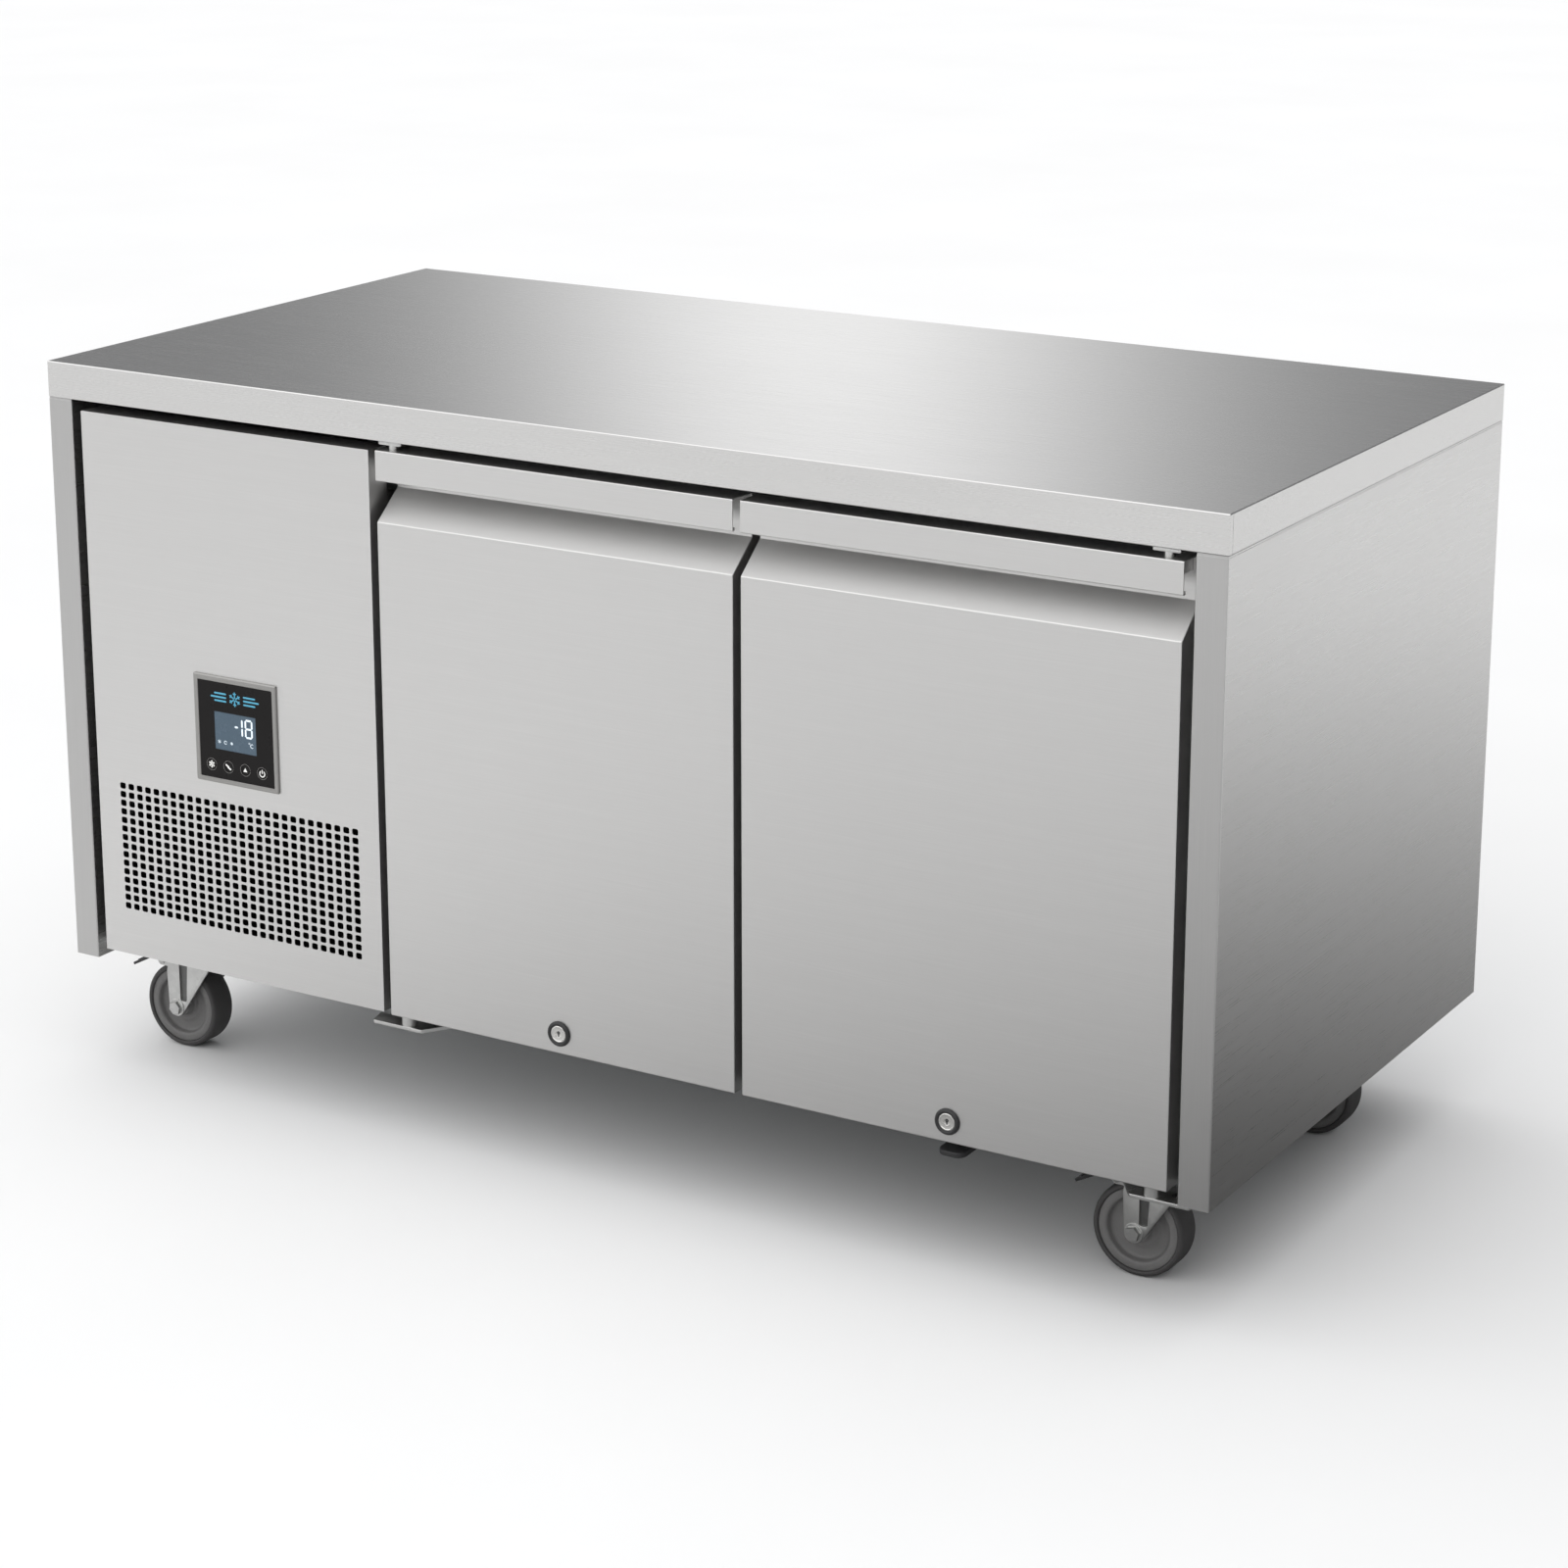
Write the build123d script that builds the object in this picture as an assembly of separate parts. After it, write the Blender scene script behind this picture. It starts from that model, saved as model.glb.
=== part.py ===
from build123d import *
import math
import os

# Two-door undercounter refrigerator on casters, millimetres.
# X runs along the counter, Y from the doors to the back, Z up from the floor.

# ---- overall size
WIDTH = 1415.0
DEPTH = 700.0
HEIGHT = 815.0
LOCK_PROUD = 3.5
LEFT = -WIDTH / 2
RIGHT = WIDTH / 2
FRONT = -DEPTH / 2 + LOCK_PROUD / 2
BACK = FRONT + DEPTH

# ---- sheet, worktop and casing
SHEET = 1.2
THIN_SHEET = 1.0
WORKTOP_THICK = 40.0
WORKTOP_HEM = 14.0
CORNER_WRAP = 6.5
SEAM = 0.5
WORKTOP_GAP = 2.0
CABINET_BOTTOM = 128.0
BASE_THICK = 2.0
BASE_FRONT = 40.0
BASE_UPSTAND = 6.5
STRIP_LEFT = 32.0
STRIP_RIGHT = 33.5
SIDE_BACK_RETURN = 20.0
CASING_INSET = 2.8
VENT_SLOT = (120.0, 8.0)
VENT_ROWS = 14
VENT_PITCH = 20.0
VENT_BOTTOM = 215.0
VENT_COLUMNS = (150.0, 320.0)

# ---- front layout, measured from the left side and down from the worktop top
PANEL_SPAN = (45.0, 436.0)
PANEL_DROP = (51.0, 674.0)
PANEL_FLANGE = 31.0
DOOR_DROP = (50.0, 676.0)
DOOR_LEFT_SPAN = (445.0, 882.0)
DOOR_RIGHT_SPAN = (891.0, 1370.0)
DOOR_THICK = 60.0
LIP_BOTTOM_DROP = 83.0
LIP_SHEET = 1.5
LIP_HEM = 5.0
GRIP_DEPTH = 37.0
GRIP_TOP_DROP = 96.0
GRIP_BOTTOM_DROP = 127.0
GASKET_INSET = 10.0
GASKET_WIDTH = 14.0
GASKET_THICK = 10.0
PLUG_THICK = 6.0
PLUG_INSET = 42.0
PLUG_CORNER = 12.0
FRAME_FRONT = 71.0
FRAME_THICK = 15.0

# ---- insulated body, measured the same way
DIVIDER = 440.0
OPENING_LEFT = (485.0, 853.0)
OPENING_RIGHT = (920.0, 1341.0)
OPENING_DROP = (88.0, 632.0)
MULLION_DEPTH = 45.0
LINER_BACK = 645.0
LINER_SHEET = 1.0

# ---- hinges
PIN_RADIUS = 5.5
PIN_BORE = 5.56
PIN_BEHIND_FRONT = 12.0
HINGE_LEFT = 461.0
HINGE_RIGHT = 1350.0
HINGE_BLOCK = 12.0
HINGE_BLOCK_TALL = 17.0
HINGE_PLATE_THICK = 4.0
HINGE_COLLAR = 8.5
COLLAR_GAP = 0.4
HINGE_FRONT = 3.0
HINGE_BRACKET_HALF = 15.0
HINGE_PLATE_SHAPE = ((43.0, 3.0), (-21.0, 3.0), (-44.0, 36.0), (-44.0, 69.0), (52.0, 69.0), (52.0, 36.0))
PIN_TIP_GAP = 2.0

# ---- locks
LOCK_DROP = 653.5
LOCK_LEFT = 665.5
LOCK_RIGHT = 1130.4
LOCK_RADIUS = 9.5
LOCK_CLEAR = 0.08
LOCK_RING = 14.0
LOCK_BARREL = 20.0
LOCK_SHAFT = 4.0
CAM_FRONT = 44.0
CAM_THICK = 3.0
CAM_LENGTH = 28.0
CAM_WIDTH = 8.0
CAM_TAIL = 6.0
CAM_GAP = 2.0
KEYHOLE = (1.8, 9.0, 6.0)
LOCK_SUNK = 0.9
LOCK_HOLE_CLEAR = 1.5
LOCK_RING_CHAMFER = 1.5
POCKET_CLEAR = 3.0
STRIKE_HALF = 15.0
STRIKE_FRONT = 4.0
STRIKE_BACK = 54.0
STRIKE_THICK = 6.0
STRIKE_CORNER = 10.0

# ---- grille
GRILLE_COLUMNS = 28
GRILLE_ROWS = 15
GRILLE_FIRST = 80.2
GRILLE_LAST = 403.8
GRILLE_DROP = (474.6, 616.0)
GRILLE_HOLE = (8.0, 7.2)

# ---- controller
BEZEL_SPAN = (189.5, 303.5)
BEZEL_DROP = (326.0, 448.5)
BEZEL_PROUD = 2.5
BEZEL_CHAMFER = 1.5
FACE_SPAN = (195.5, 297.5)
FACE_DROP = (333.0, 443.0)
FACE_PROUD = 1.8
HOUSING_INSET = 5.0
HOUSING_DEPTH = 38.0
SCREEN_SPAN = (217.0, 274.0)
SCREEN_DROP = (366.5, 409.5)
SCREEN_BEHIND = 0.5
KEY_COLUMNS = (211.0, 234.3, 257.6, 281.0)
KEY_DROP = 428.0
KEY_RADIUS = 6.0
KEY_CLEAR = 0.3
KEY_PROUD = 2.0
KEY_LENGTH = 3.5
KEY_WELL = 3.0

# ---- casters, about each swivel axis
CASTER_INSET = 96.0
CASTER_FRONT = 104.0
CASTER_REAR = 532.0
CASTER_TRAIL = 20.0
WHEEL_RADIUS = 50.0
TYRE_INNER = 43.5
TYRE_HALF = 17.0
TYRE_SHOULDER = 4.0
RIM_INNER = 36.0
RIM_HALF = 15.0
WEB_HALF = 6.0
HUB_RADIUS = 13.0
HUB_HALF = 20.0
LEG_INNER = 21.0
LEG_SHEET = 3.0
CROWN_Z = 106.0
RACE_RADIUS = 27.0
RACE_TOP = 114.0
RACE_GAP = 0.3
UPPER_RACE = 25.0
KING_PIN = 6.0
KING_CLEAR = 0.1
RIVET_HEAD = 9.5
RIVET_TALL = 3.0
PLATE_THICK = 3.0
PLATE_HALF = (46.0, 34.0)
PLATE_CORNER = 6.0
BOLT_OFFSET = (36.0, 25.0)
BOLT_RADIUS = 4.0
BOLT_HEAD = 6.5
BOLT_HEAD_TALL = 5.0
AXLE_RADIUS = 5.0
AXLE_CLEAR = 0.06
AXLE_HEAD = 8.5
AXLE_HEAD_TALL = 6.0
AXLE_THREAD = 2.0
CROWN_SPAN = (-30.0, 28.0)
CROWN_SHEET = 3.0
LEG_TOP_FRONT = -33.0
LEG_TOP_DROP = (14.0, 4.0)
LEG_FOOT = 11.0
LEG_FOOT_RISE = -2.0
PEDAL_PIVOT = (-40.0, 104.0)
PEDAL_PIN = 2.5
PEDAL_CLEAR = 0.06
PEDAL_HUB = 5.0
PEDAL_HUB_HALF = 19.0
PEDAL_HALF = 15.0
PEDAL_TAB = 6.0
PEDAL_TAB_END = -28.0
PEDAL_PLATE = ((0.0, 4.6), (-24.0, 0.0), (-51.0, -15.0), (-50.0, -18.0), (-23.0, -4.0), (0.0, 0.0))
PEDAL_SHOE = ((2.0, -3.0), (0.0, -5.0), (-6.0, -7.5), (-9.0, -1.0))

# ---- machine compartment
COMPRESSOR_AT = (235.0, 500.0)
COMPRESSOR_RADIUS = 70.0
COMPRESSOR_TOP = 300.0
COMPRESSOR_FEET = 137.0
COMPRESSOR_DOME = 34.0
COMPRESSOR_LIFT = 3.0
FOOT_PLATE = (95.0, 60.0, 4.0)
MOUNT_AT = (82.0, 48.0)
MOUNT_RADIUS = 9.0
TERMINAL_HALF = 20.0
TERMINAL_DEPTH = 22.0
TERMINAL_Z = (200.0, 245.0)
TERMINAL_NECK = (14.0, 206.0, 239.0)
CONDENSER_SPAN = (95.0, 375.0)
CONDENSER_Y = (60.0, 110.0)
CONDENSER_Z = (150.0, 392.0)
SHROUD_Y = (114.0, 117.0)
SHROUD_HOLE = 96.0
SHROUD_REACH = 10.0
SHROUD_RISE = 8.0
SHROUD_DUCT = 16.0
SHROUD_WALL = 3.0
CONDENSER_PITCH = 10.0
CONDENSER_ROWS = 8
FAN_AT = (235.0, 270.0)
FAN_RADIUS = 90.0
FAN_Y = (126.0, 140.0)
FAN_MOTOR_Y = (146.0, 192.0)
FAN_MOTOR_RADIUS = 34.0
FAN_ARM_REACH = 108.0
FAN_SHAFT_FRONT = 124.0
SHAFT_RADIUS = 4.0
SHAFT_BORE = 4.06
ARM_SIZE = (4.0, 8.0)
ARM_FOOT = 5.0
ARM_TURNS = (90.0, 210.0, 330.0)
BLADES = 5
BLADE_SHEET = 2.0
BLADE_PITCH = 16.0
BLADE_CHORD = 0.5
BLADE_LENGTH = 0.8232
BLADE_CENTRE = 0.5684
FAN_HUB = 0.24
CONTROL_BOX_X = (100.0, 380.0)
CONTROL_BOX_Y = 440.0
CONTROL_BOX_Z = (600.0, 690.0)
CONTROL_BOX_SHEET = 2.0
PIPE_RADIUS = 4.0
PIPE_BEND = 22.0
PIPE_OFFSET = (20.0, 10.0)
DISCHARGE_TOP = 430.0
SUCTION_TOP = 480.0
LIQUID_START = 130.0
LIQUID_LOW = 190.0
LIQUID_HIGH = 400.0
DRIER_AT = (404.0, 300.0)
DRIER_Z = (240.0, 320.0)
DRIER_RADIUS = 10.0
GLAND_AT = (60.0, 640.0)
GLAND_RADII = (12.0, 9.0, 4.0)
GLAND_STEPS = (4.0, 14.0)

# ---- cold side
EVAP_SPAN = (790.0, 980.0)
EVAP_Y = 560.0
EVAP_Z = (485.0, 722.0)
EVAP_COIL_INSET = 9.0
EVAP_COIL_Y = (608.0, 642.0)
EVAP_COIL_CLEAR = (10.0, 8.0)
EVAP_PITCH = 9.0
EVAP_ROWS = 6
EVAP_FAN_AT = (885.0, 610.0)
EVAP_FAN_RADIUS = 44.0
EVAP_FAN_HOLE = 48.0
EVAP_FAN_Y = (569.0, 579.0)
EVAP_MOTOR_Y = (582.0, 604.0)
EVAP_MOTOR_RADIUS = 17.0
EVAP_ARM_REACH = 56.0
EVAP_SHAFT_FRONT = 568.0
INTAKE_FIRST = 20.0
INTAKE_WIDE = 12.0
INTAKE_PITCH = 22.0
INTAKE_MARGIN = 12.0
INTAKE_COUNT = 7
UPRIGHT_Y = (150.0, 560.0)
UPRIGHT_WIDE = 12.0
UPRIGHT_DEEP = 8.0
UPRIGHT_END = 10.0
UPRIGHT_SLOT = (4.0, 12.0, 30.0, 7)
CLIP_REACH = 12.0
CLIP_TALL = 5.0
CLIP_HALF = 17.0
SHELF_Z = 440.0
SHELF_Y = (120.0, 630.0)
SHELF_LEFT = (497.0, 877.0)
SHELF_RIGHT = (897.0, 1329.0)
SHELF_ROD = 3.0
SHELF_END = 2.5
SHELF_WIRE = 1.6
SHELF_PITCH = 24.0


# ---------------------------------------------------------------- helpers
def across(x):
    """X of a place given from the cabinet's left side."""
    return LEFT + x


def deep(y):
    """Y of a place given from the plane of the door faces."""
    return FRONT + y


def level(drop):
    """Z of a place given down from the worktop's top."""
    return HEIGHT - drop


def block(x0, x1, y0, y1, z0, z1):
    """Box between two opposite corners."""
    centre = Pos((x0 + x1) / 2, (y0 + y1) / 2, (z0 + z1) / 2)
    return centre * Box(abs(x1 - x0), abs(y1 - y0), abs(z1 - z0))


def post(x, y, radius, z0, z1):
    """Upright cylinder."""
    return Pos(x, y, (z0 + z1) / 2) * Cylinder(radius, z1 - z0)


def axle(x, z, radius, y0, y1):
    """Cylinder along Y."""
    return Pos(x, (y0 + y1) / 2, z) * Rot(90, 0, 0) * Cylinder(radius, y1 - y0)


def bar(y, z, radius, x0, x1):
    """Cylinder along X."""
    return Pos((x0 + x1) / 2, y, z) * Rot(0, 90, 0) * Cylinder(radius, x1 - x0)


def prism_x(outline, x0, x1):
    """Solid with a (y, z) outline, from x0 to x1."""
    face = make_face(Polyline(*[(x0, y, z) for y, z in outline], close=True))
    return extrude(face, amount=x1 - x0, dir=(1, 0, 0))


def prism_y(outline, y0, y1):
    """Solid with an (x, z) outline, from y0 to y1."""
    face = make_face(Polyline(*[(x, y0, z) for x, z in outline], close=True))
    return extrude(face, amount=y1 - y0, dir=(0, 1, 0))


def prism_z(outline, z0, z1):
    """Solid with an (x, y) outline, from z0 to z1."""
    face = make_face(Polyline(*[(x, y, z0) for x, y in outline], close=True))
    return extrude(face, amount=z1 - z0, dir=(0, 0, 1))


def fuse(shapes):
    """One solid from touching or overlapping shapes."""
    whole = shapes[0]
    for shape in shapes[1:]:
        whole = whole + shape
    return whole


def group(shapes):
    """Separate solids kept together in one node."""
    return Compound(children=[solid for shape in shapes for solid in shape.solids()])


def hexagon(x, z, radius, y0, y1):
    """Hexagonal bolt head or nut along Y."""
    turns = [math.radians(60 * k) for k in range(6)]
    outline = [(x + radius * math.cos(a), z + radius * math.sin(a)) for a in turns]
    return prism_y(outline, y0, y1)


# ---------------------------------------------------------------- casing
TOP_UNDER = HEIGHT - WORKTOP_THICK
BASE_TOP = CABINET_BOTTOM + BASE_THICK
CASING_FRONT = BACK - CASING_INSET - SHEET
DOOR_Z = (level(DOOR_DROP[1]), level(DOOR_DROP[0]))
OPENING_Z = (level(OPENING_DROP[1]), level(OPENING_DROP[0]))


def worktop_core():
    """Rigid foam that fills the folded worktop."""
    return block(
        LEFT + SHEET, RIGHT - SHEET, FRONT + SHEET, BACK - SHEET, TOP_UNDER + SHEET, HEIGHT - SHEET,
    )


def worktop():
    """Folded stainless top, with a hem under its edge and a butt seam behind each front corner."""
    skin = block(LEFT, RIGHT, FRONT, BACK, TOP_UNDER, HEIGHT) - worktop_core()
    edge = SHEET + WORKTOP_HEM
    skin -= block(LEFT + edge, RIGHT - edge, FRONT + edge, BACK - edge, TOP_UNDER, TOP_UNDER + SHEET)
    seam = (FRONT + CORNER_WRAP, FRONT + CORNER_WRAP + SEAM, TOP_UNDER, HEIGHT - SHEET)
    skin -= block(LEFT, LEFT + SHEET / 2, *seam)
    return skin - block(RIGHT - SHEET / 2, RIGHT, *seam)


def side_panel(outer, inward, strip):
    """Folded side: outer sheet, front strip and its return, bottom and back returns."""
    z0 = CABINET_BOTTOM
    z1 = TOP_UNDER - WORKTOP_GAP

    def at(x):
        return outer + inward * x

    return fuse([
        block(at(0), at(SHEET), FRONT, BACK, z0, z1),
        block(at(0), at(strip), FRONT, FRONT + SHEET, z0, z1),
        block(at(strip - SHEET), at(strip), FRONT, deep(FRAME_FRONT), z0, z1),
        block(at(0), at(strip), FRONT, BACK, z0, z0 + SHEET),
        block(at(0), at(SIDE_BACK_RETURN), BACK - SHEET, BACK, z0, z1),
    ])


def rear_casing():
    """Back sheet, with louvre slots behind the machine compartment."""
    z0 = CABINET_BOTTOM + SHEET
    sheet = block(LEFT + SHEET, RIGHT - SHEET, CASING_FRONT, CASING_FRONT + SHEET, z0, TOP_UNDER)
    slots = []
    for column in VENT_COLUMNS:
        for row in range(VENT_ROWS):
            centre = Pos(across(column), CASING_FRONT, VENT_BOTTOM + row * VENT_PITCH)
            slots.append(centre * Box(VENT_SLOT[0], 4 * SHEET, VENT_SLOT[1]))
    return sheet - slots


def divider_panel():
    """Wall between the machine compartment and the insulated body."""
    x = across(DIVIDER)
    return block(x, x + SHEET, deep(FRAME_FRONT), CASING_FRONT, BASE_TOP, TOP_UNDER)


def base_panel():
    """Floor pan, with a front upstand that the lock cams drop behind."""
    x0 = LEFT + STRIP_LEFT
    x1 = RIGHT - STRIP_RIGHT
    pan = block(x0, x1, deep(BASE_FRONT), CASING_FRONT, CABINET_BOTTOM, BASE_TOP)
    pan += block(x0, x1, deep(BASE_FRONT), deep(BASE_FRONT) + SHEET, BASE_TOP, BASE_TOP + BASE_UPSTAND)
    for x, y in caster_places():
        for bx, by in bolt_places(x, y):
            pan -= post(bx, by, BOLT_RADIUS, CABINET_BOTTOM - 1, BASE_TOP + 1)
    return pan


def openings(y0, y1):
    """The two door openings as blocks."""
    return [block(across(a), across(b), y0, y1, *OPENING_Z) for a, b in (OPENING_LEFT, OPENING_RIGHT)]


def front_frame():
    """Face frame that the gaskets close on, with the mullion between the doors."""
    y0 = deep(FRAME_FRONT)
    frame = block(across(DIVIDER) + SHEET, RIGHT - SHEET, y0, y0 + FRAME_THICK, BASE_TOP, TOP_UNDER)
    frame -= openings(y0 - 1, y0 + FRAME_THICK + 1)
    mullion = (across(OPENING_LEFT[1]), across(OPENING_RIGHT[0]))
    return frame + block(*mullion, y0, y0 + MULLION_DEPTH, *OPENING_Z)


def liner_space(grow):
    """Storage space as one block, grown by a wall thickness on five sides."""
    return block(
        across(OPENING_LEFT[0]) - grow, across(OPENING_RIGHT[1]) + grow,
        deep(FRAME_FRONT) + FRAME_THICK, deep(LINER_BACK) + grow,
        OPENING_Z[0] - grow, OPENING_Z[1] + grow,
    )


def inner_liner():
    """Five-sided stainless lining of the storage space."""
    return liner_space(LINER_SHEET) - liner_space(0.0)


def body_insulation():
    """Foam of the insulated body, and the foam of the worktop as a second solid."""
    body = block(
        across(DIVIDER) + SHEET, RIGHT - SHEET,
        deep(FRAME_FRONT) + FRAME_THICK, CASING_FRONT,
        BASE_TOP, TOP_UNDER,
    )
    return group([body - liner_space(LINER_SHEET), worktop_core()])


# ---------------------------------------------------------------- machine panel and controller
def controller_block(y0, y1, inset):
    """Block over the controller's face, inset all round."""
    return block(
        across(FACE_SPAN[0]) + inset, across(FACE_SPAN[1]) - inset, y0, y1,
        level(FACE_DROP[1]) + inset, level(FACE_DROP[0]) - inset,
    )


def punched_sheet(x0, x1, z0, z1):
    """Front sheet with the grille's holes and the controller's cut-out."""
    pitch_x = (GRILLE_LAST - GRILLE_FIRST) / (GRILLE_COLUMNS - 1)
    pitch_z = (GRILLE_DROP[1] - GRILLE_DROP[0]) / (GRILLE_ROWS - 1)
    face_plane = Plane(origin=(0, FRONT, 0), x_dir=(1, 0, 0), z_dir=(0, -1, 0))
    middle = face_plane * Pos(across((GRILLE_FIRST + GRILLE_LAST) / 2), level(sum(GRILLE_DROP) / 2))
    centre = face_plane * Pos(across(sum(FACE_SPAN) / 2), level(sum(FACE_DROP) / 2))
    hole = Rectangle(*GRILLE_HOLE)
    grid = GridLocations(pitch_x, pitch_z, GRILLE_COLUMNS, GRILLE_ROWS)
    cuts = [(middle * spot * hole).wires()[0] for spot in grid]
    housing = centre * Rectangle(
        FACE_SPAN[1] - FACE_SPAN[0] - 2 * HOUSING_INSET, FACE_DROP[1] - FACE_DROP[0] - 2 * HOUSING_INSET,
    )
    outline = face_plane * Pos((x0 + x1) / 2, (z0 + z1) / 2) * Rectangle(x1 - x0, z1 - z0)
    sheet = Face(outline.wires()[0], cuts + [housing.wires()[0]])
    return extrude(sheet, amount=SHEET, dir=(0, 1, 0))


def machine_front_panel():
    """Folded cover of the machine compartment, with its grille and the controller's cut-out."""
    x0, x1 = (across(x) for x in PANEL_SPAN)
    z1, z0 = (level(d) for d in PANEL_DROP)
    y0, y1 = FRONT + SHEET, deep(PANEL_FLANGE)
    flanges = block(x0, x1, y0, y1, z0, z1)
    flanges -= block(x0 + SHEET, x1 - SHEET, y0 - 1, y1 + 1, z0 + SHEET, z1 - SHEET)
    return punched_sheet(x0, x1, z0, z1) + flanges


def controller_bezel():
    """Bevelled metal surround of the controller."""
    x0, x1 = (across(x) for x in BEZEL_SPAN)
    z1, z0 = (level(d) for d in BEZEL_DROP)
    ring = block(x0, x1, FRONT - BEZEL_PROUD, FRONT, z0, z1)
    ring = chamfer(ring.faces().sort_by(Axis.Y)[0].edges(), BEZEL_CHAMFER)
    return ring - controller_block(FRONT - BEZEL_PROUD - 1, FRONT + 1, 0)


def screen_block(y0, y1):
    """Block over the display window."""
    return block(
        across(SCREEN_SPAN[0]), across(SCREEN_SPAN[1]), y0, y1,
        level(SCREEN_DROP[1]), level(SCREEN_DROP[0]),
    )


def controller_face():
    """Front plate and rear housing of the controller in one moulding, with wells for the keys."""
    face = controller_block(FRONT - FACE_PROUD, FRONT, 0)
    face += controller_block(FRONT, FRONT + HOUSING_DEPTH, HOUSING_INSET)
    face -= screen_block(FRONT - FACE_PROUD - 1, FRONT + SCREEN_BEHIND)
    well = (KEY_RADIUS + KEY_CLEAR, FRONT - FACE_PROUD - 1, FRONT + KEY_WELL)
    for x in KEY_COLUMNS:
        face -= axle(across(x), level(KEY_DROP), *well)
    return face


def display_screen():
    """Display window set in the controller's face."""
    return screen_block(FRONT - FACE_PROUD, FRONT + SCREEN_BEHIND)


def key(x):
    """Round push key of the controller."""
    return axle(across(x), level(KEY_DROP), KEY_RADIUS, FRONT - KEY_PROUD, FRONT - KEY_PROUD + KEY_LENGTH)


# ---------------------------------------------------------------- machinery
def finned_coil(x0, x1, y0, y1, z0, z1, pitch, rows):
    """Plate fins on straight tubes, between two end plates."""
    fins = []
    count = int((x1 - x0) / pitch)
    for k in range(count + 1):
        x = x0 + k * (x1 - x0 - THIN_SHEET) / count
        fins.append(block(x, x + THIN_SHEET, y0, y1, z0, z1))
    tubes = []
    for row in range(rows):
        z = z0 + (row + 0.5) * (z1 - z0) / rows
        tubes.append(bar((y0 + y1) / 2, z, PIPE_RADIUS, x0, x1))
    top = block(x0, x1, y0, y1, z1 - THIN_SHEET, z1)
    return fins[0].fuse(*fins[1:], *tubes, top)


def condenser_coil():
    """Finned coil behind the grille."""
    return finned_coil(
        across(CONDENSER_SPAN[0]), across(CONDENSER_SPAN[1]),
        deep(CONDENSER_Y[0]), deep(CONDENSER_Y[1]), *CONDENSER_Z, CONDENSER_PITCH, CONDENSER_ROWS,
    )


def condenser_fan_shroud():
    """Ducted plate between the coil and the fan, with a foot at each side."""
    x0, x1 = across(CONDENSER_SPAN[0] - SHROUD_REACH), across(CONDENSER_SPAN[1] + SHROUD_REACH)
    y0, y1 = (deep(y) for y in SHROUD_Y)
    top = CONDENSER_Z[1] + SHROUD_RISE
    fan_x, fan_z = across(FAN_AT[0]), FAN_AT[1]
    plate = block(x0, x1, y0, y1, BASE_TOP, top)
    plate += block(x0, x0 + SHROUD_WALL, deep(CONDENSER_Y[0]), y1, BASE_TOP, top)
    plate += block(x1 - SHROUD_WALL, x1, deep(CONDENSER_Y[0]), y1, BASE_TOP, top)
    plate += axle(fan_x, fan_z, SHROUD_HOLE + SHROUD_WALL, y1, y1 + SHROUD_DUCT)
    return plate - axle(fan_x, fan_z, SHROUD_HOLE, y0 - 1, y1 + SHROUD_DUCT + 1)


def fan_motor(x, z, motor_y, radius, arm_reach, arm_front, shaft_front):
    """Fan motor with its shaft and three arms that stand off from the plate in front."""
    y0, y1 = (deep(y) for y in motor_y)
    thick, wide = ARM_SIZE
    parts = [axle(x, z, radius, y0, y1), axle(x, z, SHAFT_RADIUS, shaft_front, y0)]
    for turn in ARM_TURNS:
        angle = math.radians(turn)
        arm = Pos(arm_reach / 2, 0, 0) * Box(arm_reach, thick, wide)
        foot_x, foot_z = x + arm_reach * math.cos(angle), z + arm_reach * math.sin(angle)
        parts.append(Pos(x, y0 + thick / 2, z) * Rot(0, -turn, 0) * arm)
        parts.append(axle(foot_x, foot_z, ARM_FOOT, arm_front, y0 + thick))
    return fuse(parts)


def fan_motors():
    """Condenser fan motor and evaporator fan motor."""
    condenser = fan_motor(
        across(FAN_AT[0]), FAN_AT[1], FAN_MOTOR_Y, FAN_MOTOR_RADIUS, FAN_ARM_REACH,
        deep(SHROUD_Y[1]), deep(FAN_SHAFT_FRONT),
    )
    evaporator = fan_motor(
        across(EVAP_FAN_AT[0]), EVAP_FAN_AT[1], EVAP_MOTOR_Y, EVAP_MOTOR_RADIUS, EVAP_ARM_REACH,
        deep(EVAP_Y + THIN_SHEET), deep(EVAP_SHAFT_FRONT),
    )
    return group([condenser, evaporator])


def fan_rotor(place, span, radius):
    """Fan hub and pitched blades, bored for the motor shaft."""
    x, z = across(place[0]), place[1]
    y0, y1 = (deep(y) for y in span)
    parts = [axle(x, z, radius * FAN_HUB, y0, y1)]
    blade = Rot(BLADE_PITCH, 0, 0) * Box(radius * BLADE_LENGTH, BLADE_SHEET, radius * BLADE_CHORD)
    for k in range(BLADES):
        turn = Pos(x, (y0 + y1) / 2, z) * Rot(0, 360.0 * k / BLADES, 0)
        parts.append(turn * Pos(radius * BLADE_CENTRE, 0, 0) * blade)
    rotor = fuse(parts) & axle(x, z, radius, y0, y1)
    return rotor - axle(x, z, SHAFT_BORE, y0 - 1, y1 + 1)


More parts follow.
